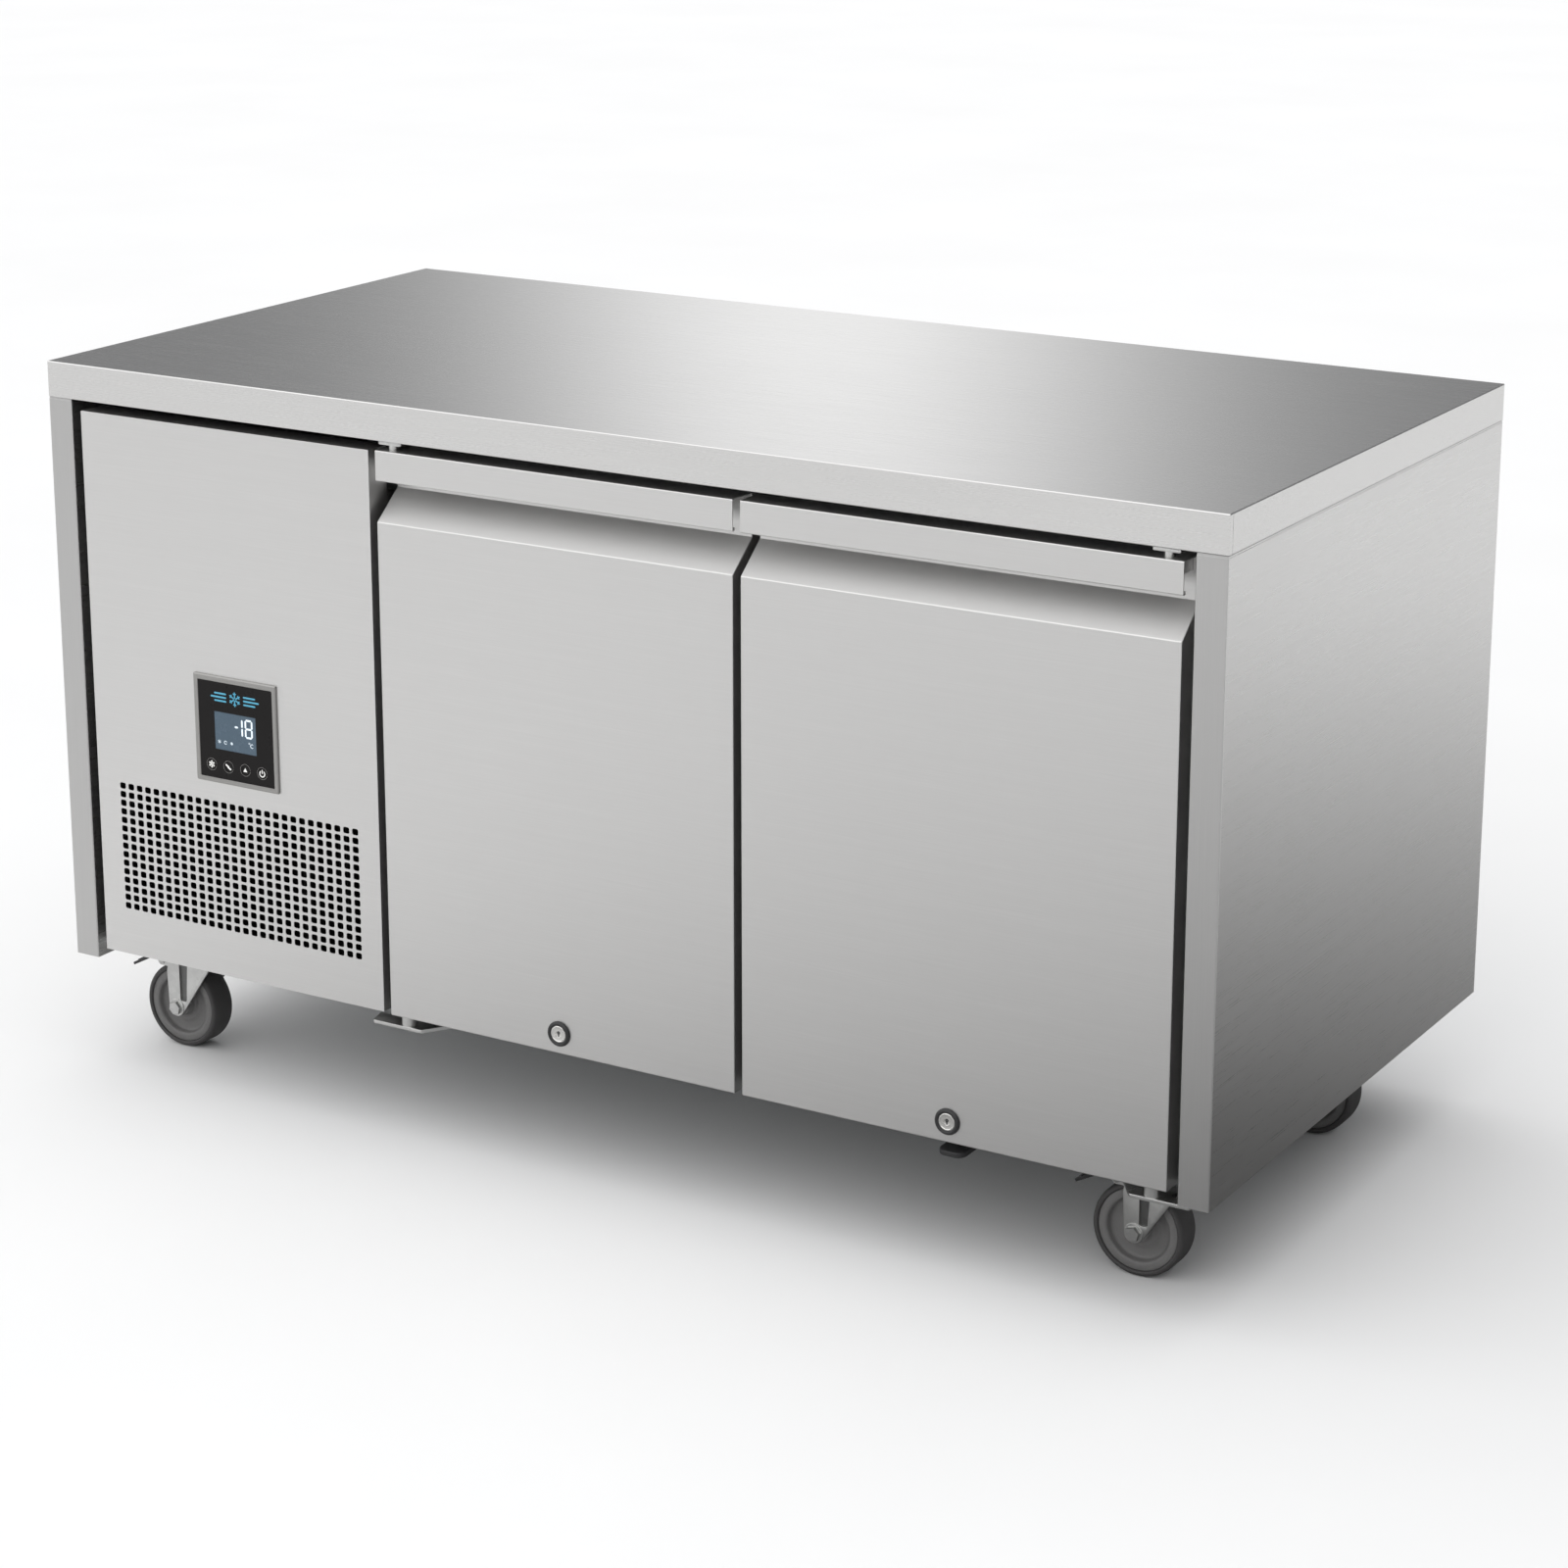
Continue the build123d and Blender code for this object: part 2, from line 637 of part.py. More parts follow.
def compressor():
    """Hermetic compressor on its foot plate, four mounts, and its terminal box."""
    x, y = across(COMPRESSOR_AT[0]), deep(COMPRESSOR_AT[1])
    face = y - COMPRESSOR_RADIUS
    half_x, half_y, thick = FOOT_PLATE
    neck_half, neck_z0, neck_z1 = TERMINAL_NECK
    shell = post(x, y, COMPRESSOR_RADIUS, COMPRESSOR_FEET + COMPRESSOR_LIFT, COMPRESSOR_TOP)
    shell = fillet(shell.edges().filter_by(GeomType.CIRCLE), COMPRESSOR_DOME)
    feet = block(x - half_x, x + half_x, y - half_y, y + half_y, COMPRESSOR_FEET, COMPRESSOR_FEET + thick)
    neck = block(x - neck_half, x + neck_half, face, face + neck_half, neck_z0, neck_z1)
    terminal = block(x - TERMINAL_HALF, x + TERMINAL_HALF, face - TERMINAL_DEPTH, face, *TERMINAL_Z)
    mounts = [
        post(x + sx * MOUNT_AT[0], y + sy * MOUNT_AT[1], MOUNT_RADIUS, BASE_TOP, COMPRESSOR_FEET)
        for sx in (-1, 1) for sy in (-1, 1)
    ]
    return group([shell + feet + neck, terminal] + mounts)


def control_box():
    """Electrical box of the machine compartment, with its lid."""
    x0, x1 = (across(x) for x in CONTROL_BOX_X)
    y0, y1 = deep(CONTROL_BOX_Y), CASING_FRONT
    z0, z1 = CONTROL_BOX_Z
    wall = CONTROL_BOX_SHEET
    case = block(x0, x1, y0, y1, z0, z1)
    case -= block(x0 + wall, x1 - wall, y0 - 1, y1 - wall, z0 + wall, z1 - wall)
    lid = block(x0, x1, y0 - wall, y0, z0, z1)
    return group([case, lid])


def tube(points):
    """Bent copper tube through the given points."""
    path = FilletPolyline(*points, radius=PIPE_BEND)
    return sweep(Plane(origin=path @ 0, z_dir=path % 0) * Circle(PIPE_RADIUS), path=path)


def refrigerant_pipes():
    """Discharge, liquid and suction lines, with the filter drier in the liquid line."""
    x, y = across(COMPRESSOR_AT[0]), deep(COMPRESSOR_AT[1])
    dx, dy = PIPE_OFFSET
    coil_y = deep(sum(CONDENSER_Y) / 2)
    wall = across(DIVIDER)
    drier_x, drier_y = across(DRIER_AT[0]), deep(DRIER_AT[1])
    discharge = tube([
        (x + dx, y - dy, COMPRESSOR_TOP), (x + dx, y - dy, DISCHARGE_TOP),
        (x + dx, coil_y, DISCHARGE_TOP), (x + dx, coil_y, CONDENSER_Z[1]),
    ])
    suction = tube([
        (x - dx, y + dy, COMPRESSOR_TOP), (x - dx, y + dy, SUCTION_TOP), (wall, y + dy, SUCTION_TOP),
    ])
    liquid_low = tube([
        (drier_x, deep(LIQUID_START), LIQUID_LOW), (drier_x, drier_y, LIQUID_LOW),
        (drier_x, drier_y, DRIER_Z[0]),
    ])
    drier = post(drier_x, drier_y, DRIER_RADIUS, *DRIER_Z)
    liquid_high = tube([
        (drier_x, drier_y, DRIER_Z[1]), (drier_x, drier_y, LIQUID_HIGH), (wall, drier_y, LIQUID_HIGH),
    ])
    return group([discharge, suction, liquid_low, drier, liquid_high])


def cable_gland():
    """Gland for the supply lead, under the back of the machine compartment."""
    x, y = across(GLAND_AT[0]), deep(GLAND_AT[1])
    flange, barrel, bore = GLAND_RADII
    shallow, deepest = GLAND_STEPS
    top = CABINET_BOTTOM
    gland = post(x, y, flange, top - shallow, top) + post(x, y, barrel, top - deepest, top - shallow)
    return gland - post(x, y, bore, top - deepest - 1, top - shallow / 2)


# ---------------------------------------------------------------- cold side
def evaporator_coil():
    """Finned coil inside the evaporator cover."""
    x0, x1 = across(EVAP_SPAN[0] + EVAP_COIL_INSET), across(EVAP_SPAN[1] - EVAP_COIL_INSET)
    y0, y1 = (deep(y) for y in EVAP_COIL_Y)
    z0, z1 = EVAP_Z[0] + EVAP_COIL_CLEAR[0], EVAP_Z[1] - EVAP_COIL_CLEAR[1]
    return finned_coil(x0, x1, y0, y1, z0, z1, EVAP_PITCH, EVAP_ROWS)


def evaporator_cover():
    """Sheet cover on the back wall, with the fan's outlet and intake slots below."""
    x0, x1 = (across(x) for x in EVAP_SPAN)
    y0, y1 = deep(EVAP_Y), deep(LINER_BACK)
    z0, z1 = EVAP_Z
    t = THIN_SHEET
    cover = block(x0, x1, y0, y1, z0, z1)
    cover -= block(x0 + t, x1 - t, y0 + t, y1 + 1, z0 + t, z1 - t)
    cover -= axle(across(EVAP_FAN_AT[0]), EVAP_FAN_AT[1], EVAP_FAN_HOLE, y0 - 1, y0 + 2 * t)
    slots = []
    for k in range(INTAKE_COUNT):
        x = x0 + INTAKE_FIRST + INTAKE_PITCH * k
        slots.append(block(x, x + INTAKE_WIDE, y0 + INTAKE_MARGIN, y1 - INTAKE_MARGIN, z0 - 1, z0 + 2 * t))
    return cover - slots


def side_upright(wall, inward, y):
    """Slotted upright on a side wall, with its shelf clip."""
    z0, z1 = OPENING_Z[0] + UPRIGHT_END, OPENING_Z[1] - UPRIGHT_END
    inset, tall, pitch, count = UPRIGHT_SLOT
    face = wall + inward * UPRIGHT_DEEP
    clip_z = SHELF_Z - SHELF_ROD
    upright = block(wall, face, y, y + UPRIGHT_WIDE, z0, z1)
    upright += block(face, face + inward * CLIP_REACH, y, y + UPRIGHT_WIDE, clip_z - CLIP_TALL, clip_z)
    slots = []
    for k in range(1, count + 1):
        z = z0 + pitch * k
        start = wall + inward * inset
        slots.append(block(start, face + inward, y + inset, y + UPRIGHT_WIDE - inset, z, z + tall))
    return upright - slots


def middle_upright(y0, y1, top, reach):
    """Upright between the two shelves, with a clip for each."""
    x = across((SHELF_LEFT[1] + SHELF_RIGHT[0]) / 2)
    clip_z = SHELF_Z - SHELF_ROD
    upright = block(x - UPRIGHT_WIDE / 2, x + UPRIGHT_WIDE / 2, y0, y1, OPENING_Z[0] + UPRIGHT_END, top)
    return upright + block(x - CLIP_HALF, x + CLIP_HALF, y0 - reach, y1, clip_z - CLIP_TALL, clip_z)


def shelf_uprights():
    """Four side uprights, one on the mullion and one on the back wall."""
    mullion_back = deep(FRAME_FRONT + MULLION_DEPTH)
    rear = deep(LINER_BACK)
    uprights = []
    for y in UPRIGHT_Y:
        uprights.append(side_upright(across(OPENING_LEFT[0]), 1, deep(y)))
        uprights.append(side_upright(across(OPENING_RIGHT[1]), -1, deep(y)))
    uprights.append(middle_upright(mullion_back, mullion_back + UPRIGHT_DEEP, OPENING_Z[1] - UPRIGHT_END, 0))
    uprights.append(middle_upright(rear - UPRIGHT_DEEP, rear, EVAP_Z[0] - UPRIGHT_DEEP, CLIP_REACH))
    return group(uprights)


def wire_shelf(span):
    """Welded wire shelf: a rod frame, two cross rods and close wires."""
    x0, x1 = (across(x) for x in span)
    y0, y1 = (deep(y) for y in SHELF_Y)
    rods = [bar(y, SHELF_Z, SHELF_ROD, x0, x1) for y in (y0 + SHELF_ROD, (y0 + y1) / 2, y1 - SHELF_ROD)]
    rail = (y0 + SHELF_ROD, y1 - SHELF_ROD)
    ends = [axle(x, SHELF_Z, SHELF_END, *rail) for x in (x0 + SHELF_PITCH / 2, x1 - SHELF_PITCH / 2)]
    count = int((x1 - x0) / SHELF_PITCH)
    wires = []
    for k in range(1, count):
        x = x0 + k * (x1 - x0) / count
        wires.append(axle(x, SHELF_Z + SHELF_ROD - SHELF_WIRE / 2, SHELF_WIRE, *rail))
    return rods[0].fuse(*rods[1:], *ends, *wires)


# ---------------------------------------------------------------- doors
def grip_outline(inset, back):
    """Door section in (y, z): flat face, slope up into the grip, back wall and back."""
    y = FRONT
    z0, z1 = DOOR_Z
    rise = (GRIP_BOTTOM_DROP - GRIP_TOP_DROP) / GRIP_DEPTH
    drop = inset * math.hypot(1.0, rise)
    foot = level(GRIP_BOTTOM_DROP) - drop
    return [
        (y + inset, z0 + inset),
        (y + inset, foot + rise * inset),
        (y + GRIP_DEPTH + inset, foot + rise * (GRIP_DEPTH + inset)),
        (y + GRIP_DEPTH + inset, z1 - inset),
        (y + back, z1 - inset),
        (y + back, z0 + inset),
    ]


def lock_pocket(lock):
    """Space in the foam for the lock's barrel, shaft and turning cam."""
    x, z = across(lock), level(LOCK_DROP)
    c = POCKET_CLEAR
    floor = DOOR_Z[0] + SHEET
    cam_y = (deep(CAM_FRONT - c), deep(CAM_FRONT + CAM_THICK + c))
    return [
        axle(x, z, LOCK_RADIUS + c, FRONT + SHEET, deep(LOCK_BARREL + c)),
        axle(x, z, LOCK_SHAFT + c, deep(LOCK_BARREL), deep(CAM_FRONT)),
        block(x - CAM_WIDTH, x + CAM_LENGTH + c, *cam_y, floor, z + CAM_WIDTH),
    ]


def hinge_blocks(pin):
    """Bored blocks that carry the door on its two pins."""
    x = across(pin)
    top = block(
        x - HINGE_BLOCK, x + HINGE_BLOCK, FRONT + LIP_SHEET, deep(GRIP_DEPTH),
        DOOR_Z[1] - HINGE_BLOCK_TALL, DOOR_Z[1] - SHEET,
    )
    bottom = block(
        x - HINGE_BLOCK, x + HINGE_BLOCK, FRONT + SHEET, deep(PIN_BEHIND_FRONT + HINGE_BLOCK),
        DOOR_Z[0] + SHEET, DOOR_Z[0] + HINGE_BLOCK_TALL,
    )
    return top, bottom


def door_skin(span, pin, lock):
    """Folded outer skin with the grip, the lip over it and the welded hinge blocks."""
    x0, x1 = (across(x) for x in span)
    z0, z1 = DOOR_Z
    skin = prism_x(grip_outline(0.0, DOOR_THICK), x0, x1)
    skin -= prism_x(grip_outline(SHEET, DOOR_THICK + 1), x0 + SHEET, x1 - SHEET)
    lip = level(LIP_BOTTOM_DROP)
    skin += block(x0, x1, FRONT, deep(GRIP_DEPTH), z1 - SHEET, z1)
    skin += block(x0, x1, FRONT, FRONT + LIP_SHEET, lip, z1)
    skin += block(x0, x1, FRONT, deep(LIP_HEM), lip, lip + SHEET)
    top, bottom = hinge_blocks(pin)
    skin = skin + top + bottom
    bore = (across(pin), deep(PIN_BEHIND_FRONT), PIN_BORE)
    skin -= post(*bore, z1 - HINGE_BLOCK_TALL - 1, z1 + 1)
    skin -= post(*bore, z0 - 1, z0 + HINGE_BLOCK_TALL + 1)
    x, z = across(lock), level(LOCK_DROP)
    skin -= axle(x, z, LOCK_RADIUS + LOCK_HOLE_CLEAR, FRONT - 1, FRONT + 2 * SHEET)
    cam_y = (deep(CAM_FRONT) - CAM_GAP, deep(CAM_FRONT) + CAM_THICK + CAM_GAP)
    return skin - block(x - CAM_TAIL, x + CAM_LENGTH, *cam_y, z0 - 1, z0 + 2 * SHEET)


def door_foam(span, pin, lock):
    """Foam core of a door."""
    x0, x1 = (across(x) for x in span)
    foam = prism_x(grip_outline(SHEET, DOOR_THICK - SHEET), x0 + SHEET, x1 - SHEET)
    foam -= hinge_blocks(pin)[1]
    pin_top = DOOR_Z[0] + HINGE_BLOCK_TALL + PIN_TIP_GAP
    foam -= post(across(pin), deep(PIN_BEHIND_FRONT), PIN_BORE + 1, DOOR_Z[0], pin_top)
    return foam - lock_pocket(lock)


def door_liner(span):
    """Inner panel of a door, with the raised pad inside the gasket."""
    x0, x1 = (across(x) for x in span)
    z0, z1 = DOOR_Z
    plate = block(x0 + SHEET, x1 - SHEET, deep(DOOR_THICK) - SHEET, deep(DOOR_THICK), z0 + SHEET, z1 - SHEET)
    pad = block(
        x0 + PLUG_INSET, x1 - PLUG_INSET, deep(DOOR_THICK), deep(DOOR_THICK + PLUG_THICK),
        z0 + PLUG_INSET, z1 - PLUG_INSET,
    )
    pad = fillet(pad.edges().filter_by(Axis.Y), PLUG_CORNER)
    return plate + pad


def door_gasket(span):
    """Magnetic gasket round the back of a door."""
    x0, x1 = (across(x) for x in span)
    z0, z1 = DOOR_Z
    a = GASKET_INSET
    b = GASKET_INSET + GASKET_WIDTH
    y0, y1 = deep(DOOR_THICK), deep(DOOR_THICK + GASKET_THICK)
    ring = block(x0 + a, x1 - a, y0, y1, z0 + a, z1 - a)
    return ring - block(x0 + b, x1 - b, y0 - 1, y1 + 1, z0 + b, z1 - b)


def lock_bezel(lock):
    """Round lock surround through the door skin."""
    x, z = across(lock), level(LOCK_DROP)
    ring = axle(x, z, LOCK_RING, FRONT - LOCK_PROUD, FRONT)
    ring = chamfer(ring.faces().sort_by(Axis.Y)[0].edges(), LOCK_RING_CHAMFER)
    ring += axle(x, z, LOCK_RADIUS + LOCK_HOLE_CLEAR, FRONT, deep(LOCK_BARREL - CAM_GAP))
    return ring - axle(x, z, LOCK_RADIUS + LOCK_CLEAR, FRONT - LOCK_PROUD - 1, deep(LOCK_BARREL))


def lock_cylinder(lock):
    """Lock cylinder with its keyhole, shaft and cam."""
    x, z = across(lock), level(LOCK_DROP)
    wide, tall, hole_deep = KEYHOLE
    face = FRONT - LOCK_PROUD
    cam_y = (deep(CAM_FRONT), deep(CAM_FRONT + CAM_THICK))
    body = axle(x, z, LOCK_RADIUS, face + LOCK_SUNK, deep(LOCK_BARREL))
    body -= block(x - wide / 2, x + wide / 2, face, face + hole_deep, z - tall / 2, z + tall / 2)
    body += axle(x, z, LOCK_SHAFT, deep(LOCK_BARREL), deep(CAM_FRONT))
    return body + block(x - CAM_TAIL, x + CAM_LENGTH, *cam_y, z - CAM_WIDTH / 2, z + CAM_WIDTH / 2)


def lock_strike():
    """Rounded black striker under the cabinet, below the right lock."""
    x = across(LOCK_RIGHT)
    z = CABINET_BOTTOM
    tab = block(x - STRIKE_HALF, x + STRIKE_HALF, deep(STRIKE_FRONT), deep(STRIKE_BACK), z - STRIKE_THICK, z)
    front = tab.edges().filter_by(Axis.Z).sort_by(Axis.Y)[:2]
    return fillet(front, STRIKE_CORNER)


# ---------------------------------------------------------------- hinges of the doors
def hinge_plate_outline(pin, outward):
    """Lower hinge plate in (x, y): narrow at the front and wide at the back."""
    return [(across(pin) + outward * x, deep(y)) for x, y in HINGE_PLATE_SHAPE]


def door_hinges():
    """Upper brackets and lower plates, each with its fixed pin."""
    hinges = []
    z0, z1 = DOOR_Z
    for pin, outward in ((HINGE_LEFT, -1), (HINGE_RIGHT, 1)):
        x, y = across(pin), deep(PIN_BEHIND_FRONT)
        under = TOP_UNDER - HINGE_PLATE_THICK
        half = HINGE_BRACKET_HALF
        upper = block(x - half, x + half, deep(HINGE_FRONT), deep(FRAME_FRONT), under, TOP_UNDER)
        upper += post(x, y, PIN_RADIUS, z1 - HINGE_BLOCK_TALL + PIN_TIP_GAP, under)
        top = CABINET_BOTTOM
        lower = prism_z(hinge_plate_outline(pin, outward), top - HINGE_PLATE_THICK, top)
        lower += post(x, y, HINGE_COLLAR, top, z0 - COLLAR_GAP)
        lower += post(x, y, PIN_RADIUS, z0 - COLLAR_GAP, z0 + HINGE_BLOCK_TALL - PIN_TIP_GAP)
        hinges += [upper, lower]
    return group(hinges)


# ---------------------------------------------------------------- casters
def caster_places():
    """Swivel axes: front left, front right, rear left, rear right."""
    return [
        (x, deep(y))
        for y in (CASTER_FRONT, CASTER_REAR)
        for x in (LEFT + CASTER_INSET, RIGHT - CASTER_INSET)
    ]


def bolt_places(x, y):
    """The four bolts of one caster plate."""
    return [(x + sx * BOLT_OFFSET[0], y + sy * BOLT_OFFSET[1]) for sx in (-1, 1) for sy in (-1, 1)]


def caster_plates():
    """Top plates, each with its upper ball race and riveted king pin."""
    plates = []
    z1 = CABINET_BOTTOM
    z0 = z1 - PLATE_THICK
    for x, y in caster_places():
        half_x, half_y = PLATE_HALF
        plate = block(x - half_x, x + half_x, y - half_y, y + half_y, z0, z1)
        plate = fillet(plate.edges().filter_by(Axis.Z), PLATE_CORNER)
        for bx, by in bolt_places(x, y):
            plate -= post(bx, by, BOLT_RADIUS, z0 - 1, z1 + 1)
        plate += post(x, y, UPPER_RACE, RACE_TOP + RACE_GAP, z0)
        plate += post(x, y, KING_PIN, CROWN_Z - RACE_GAP, RACE_TOP + RACE_GAP)
        plate += post(x, y, RIVET_HEAD, CROWN_Z - RACE_GAP - RIVET_TALL, CROWN_Z - RACE_GAP)
        plates.append(plate)
    return group(plates)


def caster_bolts():
    """Bolts that hold the caster plates to the floor pan."""
    bolts = []
    z = CABINET_BOTTOM - PLATE_THICK
    for x, y in caster_places():
        for bx, by in bolt_places(x, y):
            head = post(bx, by, BOLT_HEAD, z - BOLT_HEAD_TALL, z)
            bolts.append(head + post(bx, by, BOLT_RADIUS, z, BASE_TOP))
    return group(bolts)


def fork_leg(x):
    """Outline of one fork leg in (x, z), wide at the crown and narrow at the wheel bolt."""
    wheel_x = x - CASTER_TRAIL
    top = CROWN_Z + CROWN_SHEET
    foot = WHEEL_RADIUS + LEG_FOOT_RISE
    return [
        (x + CROWN_SPAN[0], top), (x + CROWN_SPAN[1], top), (x + CROWN_SPAN[1], CROWN_Z - LEG_TOP_DROP[1]),
        (wheel_x + LEG_FOOT, foot), (wheel_x - LEG_FOOT, foot),
        (x + LEG_TOP_FRONT, CROWN_Z - LEG_TOP_DROP[0]),
    ]


def caster_fork(x, y, braked):
    """Swivel fork with its lower race, and the wheel bolt; a braked fork has the pedal's pin."""
    wheel_x = x - CASTER_TRAIL
    outer = LEG_INNER + LEG_SHEET
    top = CROWN_Z + CROWN_SHEET
    px, pz = x + PEDAL_PIVOT[0], PEDAL_PIVOT[1]
    parts = [
        block(x + CROWN_SPAN[0], x + CROWN_SPAN[1], y - outer, y + outer, CROWN_Z, top),
        post(x, y, RACE_RADIUS, top, RACE_TOP),
    ]
    for a, b in ((y - outer, y - LEG_INNER), (y + LEG_INNER, y + outer)):
        parts.append(prism_y(fork_leg(x), a, b))
        parts.append(axle(wheel_x, WHEEL_RADIUS, LEG_FOOT, a, b))
        if braked:
            parts.append(axle(px, pz, PEDAL_TAB, a, b))
            parts.append(block(px, x + PEDAL_TAB_END, a, b, pz - PEDAL_TAB, top))
    fork = fuse(parts)
    fork -= post(x, y, KING_PIN + KING_CLEAR, CROWN_Z - 1, RACE_TOP + 1)
    fork -= axle(wheel_x, WHEEL_RADIUS, AXLE_RADIUS, y - outer - 1, y + outer + 1)
    bolt_end = y + outer + AXLE_HEAD_TALL + AXLE_THREAD
    bolt = axle(wheel_x, WHEEL_RADIUS, AXLE_RADIUS, y - outer, bolt_end)
    bolt += hexagon(wheel_x, WHEEL_RADIUS, AXLE_HEAD, y - outer - AXLE_HEAD_TALL, y - outer)
    bolt += hexagon(wheel_x, WHEEL_RADIUS, AXLE_HEAD, y + outer, y + outer + AXLE_HEAD_TALL)
    solids = [bolt]
    if braked:
        fork -= axle(px, pz, PEDAL_PIN, y - outer - 1, y + outer + 1)
        solids.append(axle(px, pz, PEDAL_PIN, y - outer, y + outer))
    return group([fork] + solids)


def wheel_core(x, y):
    """Moulded wheel centre with hub, web and rim."""
    wheel_x = x - CASTER_TRAIL
    z = WHEEL_RADIUS
    rim = axle(wheel_x, z, TYRE_INNER, y - RIM_HALF, y + RIM_HALF)
    rim -= axle(wheel_x, z, RIM_INNER, y - RIM_HALF - 1, y + RIM_HALF + 1)
    web = axle(wheel_x, z, RIM_INNER + 1, y - WEB_HALF, y + WEB_HALF)
    hub = axle(wheel_x, z, HUB_RADIUS, y - HUB_HALF, y + HUB_HALF)
    core = rim + web + hub
    return core - axle(wheel_x, z, AXLE_RADIUS + AXLE_CLEAR, y - HUB_HALF - 1, y + HUB_HALF + 1)


def tyre(x, y):
    """Tyre with rounded shoulders."""
    wheel_x = x - CASTER_TRAIL
    ring = axle(wheel_x, WHEEL_RADIUS, WHEEL_RADIUS, y - TYRE_HALF, y + TYRE_HALF)
    ring = fillet(ring.edges().filter_by(GeomType.CIRCLE), TYRE_SHOULDER)
    return ring - axle(wheel_x, WHEEL_RADIUS, TYRE_INNER, y - TYRE_HALF - 1, y + TYRE_HALF + 1)


def brake_pedal(x, y):
    """Brake pedal: hub on its pin, sloping foot plate and a shoe above the tyre."""
    px, pz = x + PEDAL_PIVOT[0], PEDAL_PIVOT[1]
    pedal = axle(px, pz, PEDAL_HUB, y - PEDAL_HUB_HALF, y + PEDAL_HUB_HALF)
    for outline in (PEDAL_PLATE, PEDAL_SHOE):
        pedal += prism_y([(px + u, pz + v) for u, v in outline], y - PEDAL_HALF, y + PEDAL_HALF)
    return pedal - axle(px, pz, PEDAL_PIN + PEDAL_CLEAR, y - PEDAL_HUB_HALF - 1, y + PEDAL_HUB_HALF + 1)


# ---------------------------------------------------------------- assembly
DOORS = {
    "left": (DOOR_LEFT_SPAN, HINGE_LEFT, LOCK_LEFT),
    "right": (DOOR_RIGHT_SPAN, HINGE_RIGHT, LOCK_RIGHT),
}
CASTERS = ("front_left", "front_right", "rear_left", "rear_right")


def all_parts():
    """Every node by name."""
    parts = {
        "worktop": worktop(),
        "side_panel_left": side_panel(LEFT, 1, STRIP_LEFT),
        "side_panel_right": side_panel(RIGHT, -1, STRIP_RIGHT),
        "rear_casing": rear_casing(),
        "divider_panel": divider_panel(),
        "base_panel": base_panel(),
        "front_frame": front_frame(),
        "inner_liner": inner_liner(),
        "body_insulation": body_insulation(),
        "machine_front_panel": machine_front_panel(),
        "controller_bezel": controller_bezel(),
        "controller_face": controller_face(),
        "display_screen": display_screen(),
        "condenser_coil": condenser_coil(),
        "condenser_fan_shroud": condenser_fan_shroud(),
        "fan_motors": fan_motors(),
        "condenser_fan": fan_rotor(FAN_AT, FAN_Y, FAN_RADIUS),
        "evaporator_fan": fan_rotor(EVAP_FAN_AT, EVAP_FAN_Y, EVAP_FAN_RADIUS),
        "compressor": compressor(),
        "control_box": control_box(),
        "refrigerant_pipes": refrigerant_pipes(),
        "cable_gland": cable_gland(),
        "evaporator_coil": evaporator_coil(),
        "evaporator_cover": evaporator_cover(),
        "shelf_uprights": shelf_uprights(),
        "wire_shelves": group([wire_shelf(SHELF_LEFT), wire_shelf(SHELF_RIGHT)]),
        "door_hinges": door_hinges(),
        "lock_strike": lock_strike(),
        "caster_plates": caster_plates(),
        "caster_bolts": caster_bolts(),
    }
    for number, x in enumerate(KEY_COLUMNS, start=1):
        parts[f"key_{number}"] = key(x)
    for side, (span, pin, lock) in DOORS.items():
        parts[f"door_{side}_skin"] = door_skin(span, pin, lock)
        parts[f"door_{side}_foam"] = door_foam(span, pin, lock)
        parts[f"door_{side}_liner"] = door_liner(span)
        parts[f"door_{side}_gasket"] = door_gasket(span)
        parts[f"lock_{side}_bezel"] = lock_bezel(lock)
        parts[f"lock_{side}_cylinder"] = lock_cylinder(lock)
    for name, (x, y) in zip(CASTERS, caster_places()):
        braked = name.startswith("front")
        parts[f"caster_{name}_fork"] = caster_fork(x, y, braked)
        parts[f"caster_{name}_wheel"] = wheel_core(x, y)
        parts[f"caster_{name}_tyre"] = tyre(x, y)
        if braked:
            parts[f"caster_{name}_pedal"] = brake_pedal(x, y)
    return parts


os.makedirs("parts", exist_ok=True)
for node, shape in all_parts().items():
    export_step(shape, f"parts/{node}.step")
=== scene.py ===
import math

import bmesh
import bpy
from mathutils import Matrix, Vector


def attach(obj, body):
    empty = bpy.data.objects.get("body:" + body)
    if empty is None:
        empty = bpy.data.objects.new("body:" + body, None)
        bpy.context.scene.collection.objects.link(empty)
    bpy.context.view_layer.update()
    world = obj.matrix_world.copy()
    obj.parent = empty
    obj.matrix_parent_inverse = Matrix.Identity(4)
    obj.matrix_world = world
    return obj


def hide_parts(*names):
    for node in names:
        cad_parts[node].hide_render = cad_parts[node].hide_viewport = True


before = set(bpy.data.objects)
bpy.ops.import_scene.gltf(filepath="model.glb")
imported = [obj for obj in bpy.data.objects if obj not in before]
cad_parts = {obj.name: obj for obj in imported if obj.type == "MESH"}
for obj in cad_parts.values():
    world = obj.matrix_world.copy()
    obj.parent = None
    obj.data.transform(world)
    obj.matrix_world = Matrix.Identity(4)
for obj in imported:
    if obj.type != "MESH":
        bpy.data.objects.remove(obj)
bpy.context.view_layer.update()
scene = bpy.context.scene

# ---------------------------------------------------------------- sizes and places
# In mm: x from the cabinet's left side, y behind the door faces, drops down from the worktop's top.
MM = 0.001
WIDE, DEEP, TALL = 1415.0, 700.0, 815.0
LOCKS_PROUD = 3.5
SHEET = 1.2 * MM

